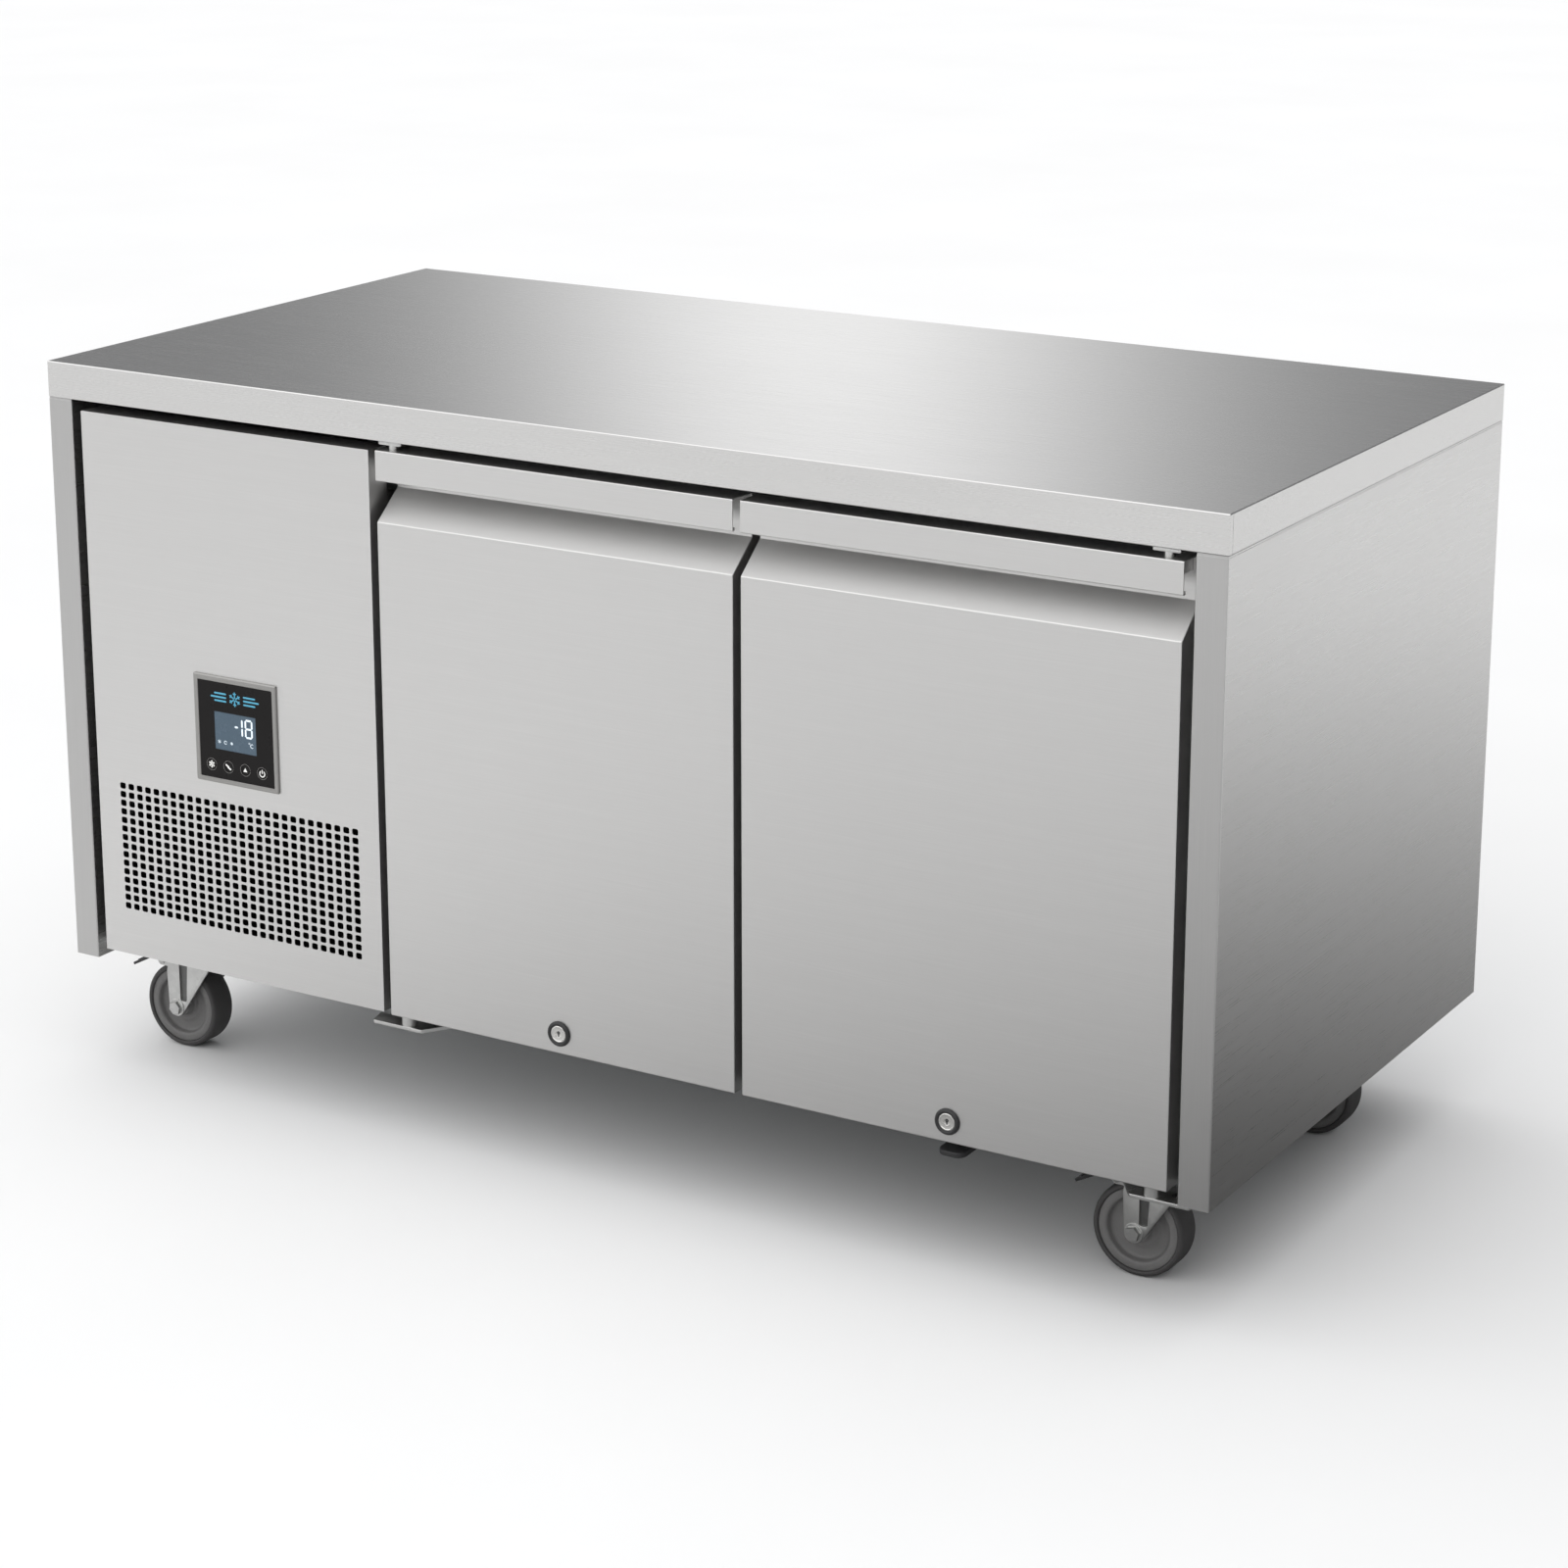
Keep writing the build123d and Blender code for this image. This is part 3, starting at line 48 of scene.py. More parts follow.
TOP_UNDER = 40.0
SIDES_TOP, SIDES_UNDER = 42.0, 687.0
PANEL_TOP, PANEL_UNDER = 51.0, 674.0
PANEL_LEFT, PANEL_RIGHT = 45.0, 436.0
DOORS_TOP, DOORS_UNDER = 50.0, 676.0
LEFT_DOOR, RIGHT_DOOR = (445.0, 882.0), (891.0, 1370.0)
LEFT_PIN, RIGHT_PIN = 461.0, 1350.0
LEFT_LOCK, RIGHT_LOCK, LOCKS_DROP = 665.5, 1130.4, 653.5
KEY_COLUMNS, KEYS_DROP = (211.0, 234.3, 257.6, 281.0), 428.0
CASTER_COLUMNS, CASTER_ROWS = (96.0, 1319.0), (104.0, 532.0)


def X(x):
    """X of a place given in mm from the cabinet's left side."""
    return (x - WIDE / 2) * MM


def Y(y):
    """Y of a place given in mm behind the plane of the door faces."""
    return (y - (DEEP - LOCKS_PROUD) / 2) * MM


def Z(drop):
    """Z of a place given in mm down from the worktop's top."""
    return (TALL - drop) * MM


FRONT, BACK = Y(0), Y(DEEP)
LEFT, RIGHT = X(0), X(WIDE)
CONTROLLER_CUT = X(200.5), X(292.5), Z(438), Z(338)


def spots(points, u0=0.0, v0=0.0):
    """Places given in mm from one place, in metres."""
    return [(u0 + u * MM, v0 + v * MM) for u, v in points]


def rectangle(u0, u1, v0, v1):
    """Corners of a rectangle."""
    return [(u0, v0), (u1, v0), (u1, v1), (u0, v1)]


# ---------------------------------------------------------------- mesh building
def finish_mesh(name, bm, material, sharp=35.0, weighted=True):
    """Object from a bmesh, smooth shaded with its flat faces kept flat."""
    bmesh.ops.remove_doubles(bm, verts=bm.verts, dist=1e-6)
    bmesh.ops.recalc_face_normals(bm, faces=bm.faces)
    mesh = bpy.data.meshes.new(name)
    bm.to_mesh(mesh)
    bm.free()
    mesh.materials.append(material)
    for face in mesh.polygons:
        face.use_smooth = True
    mesh.set_sharp_from_angle(angle=math.radians(sharp))
    obj = bpy.data.objects.new(name, mesh)
    scene.collection.objects.link(obj)
    if weighted:
        normals = obj.modifiers.new("normals", "WEIGHTED_NORMAL")
        normals.keep_sharp = True
    return obj


def second_finish(obj, material, chosen):
    """Gives the chosen faces of a piece their own finish."""
    obj.data.materials.append(material)
    for face in obj.data.polygons:
        if chosen(face):
            face.material_index = 1
    return obj


def place(obj, body, slot, *nodes):
    """Puts a piece on its body and hides the CAD nodes it stands for."""
    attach(obj, body)
    if nodes:
        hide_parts(*nodes)
    return obj


def soften(bm, width, segments=3, chosen=None):
    """Rounds the sharp edges of a mesh, or the chosen ones of them."""
    bmesh.ops.recalc_face_normals(bm, faces=bm.faces)
    edges = [
        e for e in bm.edges
        if len(e.link_faces) == 2
        and e.calc_face_angle(0.0) > math.radians(30)
        and (chosen is None or chosen(e))
    ]
    bmesh.ops.bevel(
        bm, geom=edges, offset=width, offset_type="OFFSET", segments=segments,
        profile=0.5, affect="EDGES", clamp_overlap=True,
    )


def prism(bm, outline, axis, a, b):
    """Adds a prism whose outline is given in the two other axes."""
    def at(u, v, w):
        return {"x": (w, u, v), "y": (u, w, v), "z": (u, v, w)}[axis]

    low = [bm.verts.new(at(u, v, a)) for u, v in outline]
    high = [bm.verts.new(at(u, v, b)) for u, v in outline]
    bm.faces.new(low)
    bm.faces.new(high)
    count = len(outline)
    for i in range(count):
        j = (i + 1) % count
        bm.faces.new((low[i], low[j], high[j], high[i]))


def box(bm, x0, x1, y0, y1, z0, z1):
    """Adds a block."""
    prism(bm, rectangle(x0, x1, y0, y1), "z", z0, z1)


def rounded(points, radius, segments=4, closed=True):
    """The points with each corner turned into an arc; radius is one value or one per point."""
    out = []
    count = len(points)
    for i in range(count):
        p = Vector(points[i])
        r = radius[i] if isinstance(radius, (list, tuple)) else radius
        if r <= 0 or (not closed and i in (0, count - 1)):
            out.append(p)
            continue
        to_before = Vector(points[i - 1]) - p
        to_after = Vector(points[(i + 1) % count]) - p
        angle = to_before.angle(to_after)
        if angle > math.pi - 1e-3:
            out.append(p)
            continue
        reach = min(r / math.tan(angle / 2), 0.49 * to_before.length, 0.49 * to_after.length)
        d1, d2 = to_before.normalized(), to_after.normalized()
        centre = p + (d1 + d2).normalized() * (reach / math.cos(angle / 2))
        v1, v2 = p + d1 * reach - centre, p + d2 * reach - centre
        sweep = v1.angle(v2)
        for k in range(segments + 1):
            first, second = math.sin((1 - k / segments) * sweep), math.sin(k / segments * sweep)
            out.append(centre + (v1 * first + v2 * second) / math.sin(sweep))
    return out


def folded(path, thick, radius, segments=4):
    """Outline of a bent sheet whose outer face follows the path; thick is positive to the path's left."""
    points = [Vector(p) for p in path]
    inner, outer_radii, inner_radii = [], [], []
    tight = max(radius - abs(thick), 0.25 * MM)
    for i, p in enumerate(points):
        before = (p - points[i - 1]).normalized() if i else None
        after = (points[i + 1] - p).normalized() if i < len(points) - 1 else None
        n1 = Vector((-(before or after).y, (before or after).x))
        n2 = Vector((-(after or before).y, (after or before).x))
        inner.append(p + (n1 + n2) * thick / (1 + n1.dot(n2)))
        turn = before.cross(after) if before and after else 0.0
        inside = turn * thick > 0
        outer_radii.append(radius if inside else tight)
        inner_radii.append(tight if inside else radius)
    outer = rounded(points, outer_radii, segments, closed=False)
    return outer + rounded(inner, inner_radii, segments, closed=False)[::-1]


def loft(bm, loops, closed=False):
    """Adds a skin through loops of equal length, capped at its two ends unless it closes on itself."""
    rings = [[bm.verts.new(p) for p in loop] for loop in loops]
    count = len(rings[0])
    pairs = list(zip(rings, rings[1:]))
    if closed:
        pairs.append((rings[-1], rings[0]))
    for a, b in pairs:
        for i in range(count):
            j = (i + 1) % count
            bm.faces.new((a[i], a[j], b[j], b[i]))
    if not closed:
        bm.faces.new(rings[0])
        bm.faces.new(rings[-1])


def window(x0, x1, z0, z1, y, radius, inset=0.0, segments=5):
    """Rounded rectangle in the plane of one Y."""
    corners = rectangle(x0 + inset, x1 - inset, z0 + inset, z1 - inset)
    return [(u, y, v) for u, v in rounded(corners, max(radius - inset, 0.2 * MM), segments)]


def lathe(bm, profile, centre, axis, steps=48, closed=False):
    """Adds a shape turned round Y or Z; the profile is (radius, place along the axis) from the centre."""
    cx, cy, cz = centre
    loops = []
    for radius, along in profile:
        ring = []
        for k in range(steps):
            a = 2 * math.pi * k / steps
            u, v = radius * math.cos(a), radius * math.sin(a)
            ring.append((cx + u, cy + along, cz + v) if axis == "y" else (cx + u, cy + v, cz + along))
        loops.append(ring)
    loft(bm, loops, closed)


def hexagon(bm, x, z, radius, y0, y1):
    """Adds a hexagonal head with chamfered corners."""
    outward = 1 if y1 > y0 else -1
    chamfer, turned = 1.2 * MM, 14
    angles = [math.radians(60 * k + turned) for k in range(6)]
    loops = []
    for r, y in ((radius, y0), (radius, y1 - outward * chamfer), (radius * 0.9, y1)):
        loops.append([(x + r * math.cos(a), y, z + r * math.sin(a)) for a in angles])
    loft(bm, loops)


def punched(name, outer, holes, thick, edge, y_front):
    """Sheet in the XZ plane with holes; its front is at y_front and its edges are slightly rounded."""
    curve = bpy.data.curves.new(name, "CURVE")
    curve.dimensions = "2D"
    curve.fill_mode = "BOTH"
    curve.extrude = thick / 2 - edge
    curve.bevel_depth = edge
    curve.bevel_resolution = 1
    curve.offset = -edge
    for loop in [outer] + [hole[::-1] for hole in holes]:
        spline = curve.splines.new("POLY")
        spline.points.add(len(loop) - 1)
        for point, (u, v) in zip(spline.points, loop):
            point.co = (u, v, 0.0, 1.0)
        spline.use_cyclic_u = True
    holder = bpy.data.objects.new(name, curve)
    scene.collection.objects.link(holder)
    bpy.context.view_layer.update()
    flat = bpy.data.meshes.new_from_object(holder.evaluated_get(bpy.context.evaluated_depsgraph_get()))
    bpy.data.objects.remove(holder)
    bpy.data.curves.remove(curve)
    bm = bmesh.new()
    bm.from_mesh(flat)
    bpy.data.meshes.remove(flat)
    bm.transform(Matrix(((1, 0, 0, 0), (0, 0, -1, y_front + thick / 2), (0, 1, 0, 0), (0, 0, 0, 1))))
    return bm


# ---------------------------------------------------------------- materials
def start(name):
    """New material: itself, its node tree and its shader."""
    made = bpy.data.materials.new(name)
    made.use_nodes = True
    return made, made.node_tree, made.node_tree.nodes["Principled BSDF"]


def feed(tree, made, inputs):
    """Fills in a node's inputs; each is a value or the socket that feeds it."""
    for key, value in inputs.items():
        if isinstance(value, bpy.types.NodeSocket):
            tree.links.new(value, made.inputs[key])
        else:
            made.inputs[key].default_value = value


def node(tree, kind, inputs=None, **settings):
    """New node with its inputs filled in."""
    made = tree.nodes.new(kind)
    for key, value in settings.items():
        setattr(made, key, value)
    feed(tree, made, inputs or {})
    return made


def own_place(tree):
    """The object's own coordinates."""
    return node(tree, "ShaderNodeTexCoord").outputs["Object"]


def calculated(tree, operation, *values):
    """Result of a sum on values and sockets."""
    return node(tree, "ShaderNodeMath", dict(enumerate(values)), operation=operation).outputs[0]


def noise(tree, where, scale, detail=3.0, stretch=(1, 1, 1), roughness=0.55):
    """Noise over the object's own coordinates, stretched along a direction."""
    mapped = node(tree, "ShaderNodeMapping", {"Vector": where, "Scale": stretch}).outputs["Vector"]
    return node(
        tree, "ShaderNodeTexNoise",
        {"Vector": mapped, "Scale": scale, "Detail": detail, "Roughness": roughness},
    ).outputs["Fac"]


def spread(tree, value, low, high, start_at=0.3, end_at=0.7):
    """Value remapped to a range."""
    return node(
        tree, "ShaderNodeMapRange",
        {"Value": value, "From Min": start_at, "From Max": end_at, "To Min": low, "To Max": high},
    ).outputs["Result"]


def blend(tree, share, a, b):
    """Mix of two colours."""
    made = node(tree, "ShaderNodeMix", data_type="RGBA")
    tree.links.new(share, made.inputs["Factor"])
    for socket, value in ((made.inputs["A"], a), (made.inputs["B"], b)):
        if isinstance(value, bpy.types.NodeSocket):
            tree.links.new(value, socket)
        else:
            socket.default_value = (*value, 1.0)
    return made.outputs["Result"]


def edge_wear_and_highlight(tree, width):
    """1 at the edges, for their wear and a painted highlight, and 0 on the flats."""
    plain = node(tree, "ShaderNodeNewGeometry").outputs["Normal"]
    eased = node(tree, "ShaderNodeBevel", {"Radius": width}, samples=4).outputs["Normal"]
    alike = node(tree, "ShaderNodeVectorMath", {0: plain, 1: eased}, operation="DOT_PRODUCT").outputs["Value"]
    return spread(tree, alike, 1.0, 0.0, start_at=0.80, end_at=0.995)


def bumped(tree, shader, height, strength, distance):
    """Lets a height stand out from the surface."""
    bump = node(tree, "ShaderNodeBump", {"Height": height, "Strength": strength, "Distance": distance})
    feed(tree, shader, {"Normal": bump.outputs["Normal"]})


def scaled(colour, factor):
    """Colour made brighter or darker."""
    return tuple(min(1.0, c * factor) for c in colour)


GRAIN = {"x": (1.0, 110.0, 110.0), "y": (110.0, 1.0, 110.0), "z": (110.0, 110.0, 1.0)}


def steel(name, colour, grain, rough, bump=0.06, edge=0.0012):
    """Satin brushed steel: fine grain, faint broad streaks, handling haze and brighter edges, partly wear and
    partly a painted highlight.
    """
    made, tree, shader = start(name)
    where = own_place(tree)
    fine = noise(tree, where, scale=9.0, detail=4.0, stretch=GRAIN[grain], roughness=0.7)
    streak = noise(tree, where, scale=1.1, detail=3.0, stretch=GRAIN[grain], roughness=0.6)
    haze = noise(tree, where, scale=2.2, detail=4.0, roughness=0.6)
    base = blend(tree, spread(tree, fine, 0.0, 1.0), scaled(colour, 0.955), scaled(colour, 1.03))
    base = blend(tree, spread(tree, streak, 0.0, 0.5), base, scaled(colour, 0.97))
    # Brighter edges: part wear, part painted highlight.
    base = blend(tree, edge_wear_and_highlight(tree, edge), base, scaled(colour, 1.14))
    grainy, hazy = spread(tree, fine, rough - 0.05, rough + 0.05), spread(tree, haze, -0.008, 0.014)
    total = calculated(tree, "ADD", grainy, hazy)
    feed(tree, shader, {"Base Color": base, "Roughness": total, "Metallic": 1.0})
    bumped(tree, shader, fine, bump, 0.0004)
    return made


def plated(name, colour, rough, spangle, contrast):
    """Zinc, nickel or cast metal: small crystal patches, fine pitting and brighter edges, partly wear and
    partly a painted highlight.
    """
    made, tree, shader = start(name)
    where = own_place(tree)
    cells = node(tree, "ShaderNodeTexVoronoi", {"Vector": where, "Scale": spangle}).outputs["Color"]
    tone = node(tree, "ShaderNodeSeparateColor", {"Color": cells}).outputs[0]
    pits = noise(tree, where, scale=420.0)
    stain = noise(tree, where, scale=14.0, detail=4.0)
    base = blend(tree, tone, scaled(colour, 1 - contrast), scaled(colour, 1 + contrast))
    base = blend(tree, spread(tree, stain, 0.0, 0.45), base, scaled(colour, 0.78))
    # Brighter edges: part wear, part painted highlight.
    base = blend(tree, edge_wear_and_highlight(tree, 0.0009), base, scaled(colour, 1.35))
    stained = spread(tree, stain, rough - 0.07, rough + 0.09)
    feed(tree, shader, {"Base Color": base, "Roughness": stained, "Metallic": 1.0})
    bumped(tree, shader, pits, 0.12, 0.0003)
    return made


def moulded(name, colour, rough, grit=900.0, bump=0.1, edge_gain=1.35, coat=0.0, specular=0.5):
    """Moulded plastic, rubber or paint: fine grit, dusty patches and brighter edges, partly rubbed and partly
    a painted highlight.
    """
    made, tree, shader = start(name)
    where = own_place(tree)
    fine = noise(tree, where, scale=grit, detail=2.0)
    dust = noise(tree, where, scale=26.0, detail=5.0, roughness=0.65)
    base = blend(tree, spread(tree, fine, 0.0, 1.0), scaled(colour, 0.9), scaled(colour, 1.1))
    base = blend(tree, spread(tree, dust, 0.0, 0.5, start_at=0.45, end_at=0.75), base, scaled(colour, 1.25))
    # Brighter edges: part wear, part painted highlight.
    base = blend(tree, edge_wear_and_highlight(tree, 0.0008), base, scaled(colour, edge_gain))
    feed(tree, shader, {
        "Base Color": base, "Roughness": spread(tree, dust, rough - 0.06, rough + 0.08),
        "Specular IOR Level": specular, "Coat Weight": coat, "Coat Roughness": 0.08,
    })
    bumped(tree, shader, fine, bump, 0.0002)
    return made


def glowing(name, colour, strength, dark):
    """Marks that emit light, a little uneven in brightness: the display's lit marks, and printed marks given
    a painted glow.
    """
    made, tree, shader = start(name)
    uneven = noise(tree, own_place(tree), scale=240.0, detail=2.0)
    lit = blend(tree, spread(tree, uneven, 0.0, 1.0), scaled(colour, 0.86), colour)
    unlit = blend(tree, spread(tree, uneven, 0.0, 1.0), dark, scaled(dark, 1.2))
    feed(tree, shader, {
        "Emission Color": lit, "Base Color": unlit, "Emission Strength": strength, "Roughness": 0.35,
    })
    return made


STEEL = (0.645, 0.64, 0.632)
TOP_STEEL = steel("worktop_steel", STEEL, "x", rough=0.25)
FRONT_STEEL = steel("front_steel", STEEL, "x", rough=0.40)
SIDE_STEEL = steel("side_steel", STEEL, "y", rough=0.30, bump=0.03)
# Darker copy of the side steel for the front strips: painted shade; only the vertical grain is their own.
STRIP_STEEL_PAINTED_SHADE = steel("strip_steel_painted_shade", (0.49, 0.487, 0.482), "z", rough=0.34)
# Rougher copy of the door steel for the grip slope; its brighter colour is painted light against the shade
# under the lip.
GRIP_STEEL_PAINTED_LIGHT = steel("grip_steel_painted_light", (0.70, 0.695, 0.688), "x", rough=0.66)
INNER_STEEL = steel("inner_steel", (0.60, 0.605, 0.605), "z", rough=0.30)
BEZEL_METAL = steel("bezel_metal", (0.33, 0.325, 0.315), "z", rough=0.32, edge=0.0006)
GALVANISED = plated("galvanised", (0.50, 0.515, 0.52), rough=0.42, spangle=120.0, contrast=0.07)
ZINC = plated("zinc", (0.56, 0.56, 0.55), rough=0.34, spangle=160.0, contrast=0.07)
# Dark copy of the fork's zinc for its channel floors: painted shade.
ZINC_PAINTED_SHADE = plated("zinc_painted_shade", (0.17, 0.17, 0.168), rough=0.48, spangle=160.0, contrast=0.07)
HINGE_METAL = plated("hinge_metal", (0.60, 0.60, 0.59), rough=0.30, spangle=220.0, contrast=0.05)
CHROME = plated("chrome", (0.74, 0.73, 0.71), rough=0.14, spangle=260.0, contrast=0.03)
ALUMINIUM = plated("aluminium", (0.70, 0.71, 0.72), rough=0.38, spangle=300.0, contrast=0.05)
WIRE = plated("shelf_wire", (0.62, 0.63, 0.64), rough=0.28, spangle=240.0, contrast=0.05)
COPPER = plated("copper", (0.72, 0.36, 0.22), rough=0.30, spangle=120.0, contrast=0.08)
ENAMEL = moulded("black_enamel", (0.012, 0.012, 0.013), 0.34, 500.0, bump=0.05, edge_gain=2.4, coat=0.2)
GLOSS = moulded("black_gloss", (0.011, 0.010, 0.010), 0.30, 700.0, bump=0.02, edge_gain=1.8, specular=0.12)
COIL_BLACK = moulded("condenser_black", (0.008, 0.008, 0.008), 0.60, edge_gain=1.2, specular=0.15)
BLACK = moulded("black_plastic", (0.020, 0.020, 0.021), 0.50, edge_gain=2.2)
GASKET = moulded("gasket_vinyl", (0.36, 0.36, 0.355), 0.55, 1100.0, bump=0.08, edge_gain=1.1)
WHEEL_GREY = moulded("wheel_grey", (0.150, 0.147, 0.145), 0.50, 1000.0, edge_gain=1.25)
TYRE_GREY = moulded("tyre_grey", (0.052, 0.050, 0.050), 0.60, 1200.0, bump=0.16, edge_gain=1.25)
FOAM = moulded("foam", (0.74, 0.64, 0.42), 0.85, 320.0, bump=0.5, edge_gain=1.1)
LCD = moulded("display_glass", (0.085, 0.125, 0.165), 0.25, 800.0, bump=0.01, edge_gain=1.1, specular=0.2)
LIT = glowing("display_digits", (0.80, 0.90, 0.97), 0.62, (0.5, 0.56, 0.6))
# The printed key signs and badge emit light: a painted glow over their print colour.
KEY_MARKS_PAINTED_GLOW = glowing("key_marks_painted_glow", (0.80, 0.80, 0.78), 0.55, (0.5, 0.5, 0.49))
BADGE_PAINTED_GLOW = glowing("blue_mark_painted_glow", (0.10, 0.44, 0.62), 0.50, (0.04, 0.20, 0.30))

NODE_LOOKS = {
    "worktop": TOP_STEEL, "side_panel_left": SIDE_STEEL, "side_panel_right": SIDE_STEEL,
    "rear_casing": GALVANISED, "divider_panel": GALVANISED, "base_panel": GALVANISED,
    "front_frame": INNER_STEEL, "inner_liner": INNER_STEEL, "body_insulation": FOAM,
    "machine_front_panel": FRONT_STEEL, "controller_bezel": BEZEL_METAL, "controller_face": GLOSS,
    "display_screen": LCD, "condenser_coil": COIL_BLACK, "condenser_fan_shroud": BLACK,
    "fan_motors": ENAMEL, "condenser_fan": ALUMINIUM, "evaporator_fan": ALUMINIUM,
    "compressor": ENAMEL, "control_box": GALVANISED, "refrigerant_pipes": COPPER,
    "cable_gland": BLACK, "evaporator_coil": ALUMINIUM, "evaporator_cover": INNER_STEEL,
    "shelf_uprights": INNER_STEEL, "wire_shelves": WIRE, "door_hinges": HINGE_METAL,
    "lock_strike": BLACK, "caster_plates": ZINC, "caster_bolts": ZINC,
}
ENDING_LOOKS = {
    "skin": FRONT_STEEL, "foam": FOAM, "gasket": GASKET, "liner": INNER_STEEL, "bezel": BLACK,
    "cylinder": CHROME, "fork": ZINC, "tyre": TYRE_GREY, "wheel": WHEEL_GREY, "pedal": BLACK,
}


def node_look(name):
    """Material of a CAD node, from its name or from the end of its name."""
    if name in NODE_LOOKS:
        return NODE_LOOKS[name]
    if name.startswith("key_"):
        return GLOSS
    return ENDING_LOOKS[name.split("_")[-1]]


for cad_name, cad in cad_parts.items():
    cad.data.materials.clear()
    cad.data.materials.append(node_look(cad_name))


# ---------------------------------------------------------------- casing
def worktop():
    """Folded slab: rounded edges, a hem underneath and a butt seam behind each front corner."""
    z0, z1 = Z(TOP_UNDER), Z(0)
    bend, hem_wide, step = 1.1 * MM, 15.2 * MM, 0.05 * MM
    seam_behind, seam_wide, seam_deep = 6.5 * MM, 0.5 * MM, 0.7 * MM
    corner_steps = 3
    front_points = 2 * (corner_steps + 1)

    def outline(inset, z, deep=0.0):
        a, b, c, d = LEFT + inset, RIGHT - inset, FRONT + inset, BACK - inset
        turned = rounded(rectangle(a, b, c, d), max(bend - inset, 0.2 * MM), corner_steps)
        near = max(FRONT + seam_behind, c + 2 * bend)
        far = near + seam_wide
        right = [(b, near), (b - deep, near), (b - deep, far), (b, far)]
        left = [(a, far), (a + deep, far), (a + deep, near), (a, near)]
        return [(u, v, z) for u, v in turned[:front_points] + right + turned[front_points:] + left]

    turns = [math.radians(turn) for turn in (0, 30, 60, 90)]
    loops = [outline(hem_wide, z0 + SHEET), outline(hem_wide, z0)]
    for turn in turns[::-1]:
        loops.append(outline(bend * (1 - math.cos(turn)), z0 + bend * (1 - math.sin(turn))))
    loops.append(outline(0.0, z0 + bend + step, seam_deep))
    loops.append(outline(0.0, z1 - bend - 2 * step, seam_deep))
    loops.append(outline(0.0, z1 - bend - step))
    for turn in turns:
        loops.append(outline(bend * (1 - math.cos(turn)), z1 - bend * (1 - math.sin(turn))))
    bm = bmesh.new()
    loft(bm, loops)
    return finish_mesh("worktop_shell", bm, TOP_STEEL)


place(worktop(), "root", "brushed_stainless", "worktop")


def side_panel(name, outer, inward, strip):
    """Side sheet folded to the front strip and its return, and to the back; a tongue closes its top."""
    z0, z1 = Z(SIDES_UNDER), Z(SIDES_TOP)
    bend, edge, tongue_thick, tongue_bend, tongue_down = 1.8 * MM, 0.4, 0.6 * MM, 1.4 * MM, 0.5 * MM

    def at(x):
        return outer + inward * x * MM

    path = [(at(strip), Y(71)), (at(strip), FRONT), (at(0), FRONT), (at(0), BACK), (at(20), BACK)]
    bm = bmesh.new()
    prism(bm, folded(path, -SHEET * inward, bend), "z", z0, z1)
    near, far = FRONT + edge * MM, BACK - edge * MM
    tongue = [
        (at(strip - edge), Y(30)), (at(strip - edge), near), (at(edge), near), (at(edge), far), (at(19), far),
    ]
    prism(bm, folded(tongue, -tongue_thick * inward, tongue_bend), "z", z1 - tongue_down, Z(TOP_UNDER))
    prism(bm, rectangle(at(edge), at(strip - edge), near, far), "z", z0 + 0.02 * MM, z0 + SHEET)
    panel = finish_mesh(name, bm, SIDE_STEEL, 32.0)

    # The front strip of the same sheet gets the darker steel as painted shade.
    def in_strip(face):
        return face.normal.y < -0.7 and face.center.y < FRONT + 1 * MM

    return second_finish(panel, STRIP_STEEL_PAINTED_SHADE, in_strip)


place(side_panel("side_left_shell", LEFT, 1, 32.0), "root", "brushed_stainless", "side_panel_left")
place(side_panel("side_right_shell", RIGHT, -1, 33.5), "root", "brushed_stainless", "side_panel_right")


def grille():
    """Rounded-square holes of the grille."""
    columns, rows = 28, 15
    first_x, last_x, first_drop, last_drop = 80.2, 403.8, 474.6, 616.0
    half_wide, half_tall, radius = 4 * MM, 3.6 * MM, 1.9 * MM
    holes = []
    for column in range(columns):
        for row in range(rows):
            u = X(first_x + (last_x - first_x) * column / (columns - 1))
            v = Z(first_drop + (last_drop - first_drop) * row / (rows - 1))
            hole = rectangle(u - half_wide, u + half_wide, v - half_tall, v + half_tall)
            holes.append(rounded(hole, radius, 2))
    return holes


def machine_panel():
    """Folded cover with the grille and the controller's opening, slightly rounded at its bends."""
    x0, x1, z0, z1 = X(PANEL_LEFT), X(PANEL_RIGHT), Z(PANEL_UNDER), Z(PANEL_TOP)
    corner, edge = 0.8 * MM, 0.3 * MM
    outer = rounded(rectangle(x0, x1, z0, z1), corner, 2)
    holes = grille() + [rectangle(*CONTROLLER_CUT)]
    bm = punched("machine_panel_sheet", outer, holes, SHEET, edge, FRONT)
    y0, y1 = FRONT + 0.6 * MM, Y(31)
    loops = []
    for inset, y in ((0.0, y0), (0.0, y1), (SHEET, y1), (SHEET, y0)):
        loops.append(window(x0, x1, z0, z1, y, corner, inset, 2))
    loft(bm, loops, closed=True)
    return finish_mesh("machine_panel", bm, FRONT_STEEL, 20.0, False)


place(machine_panel(), "root", "brushed_stainless", "machine_front_panel")

# Sections of a louvre's hood and cheeks, in mm behind the sheet's front and up from just over its slot.
HOOD = [
    (1.0, 0.8), (2.4, -0.2), (3.6, -2.8), (3.9, -6.2), (3.2, -6.2), (2.9, -3.0), (2.0, -1.0), (0.9, -0.1),
]
CHEEK = [(1.0, 0.6), (2.4, -0.2), (3.6, -2.8), (3.9, -6.2), (1.0, -6.2)]


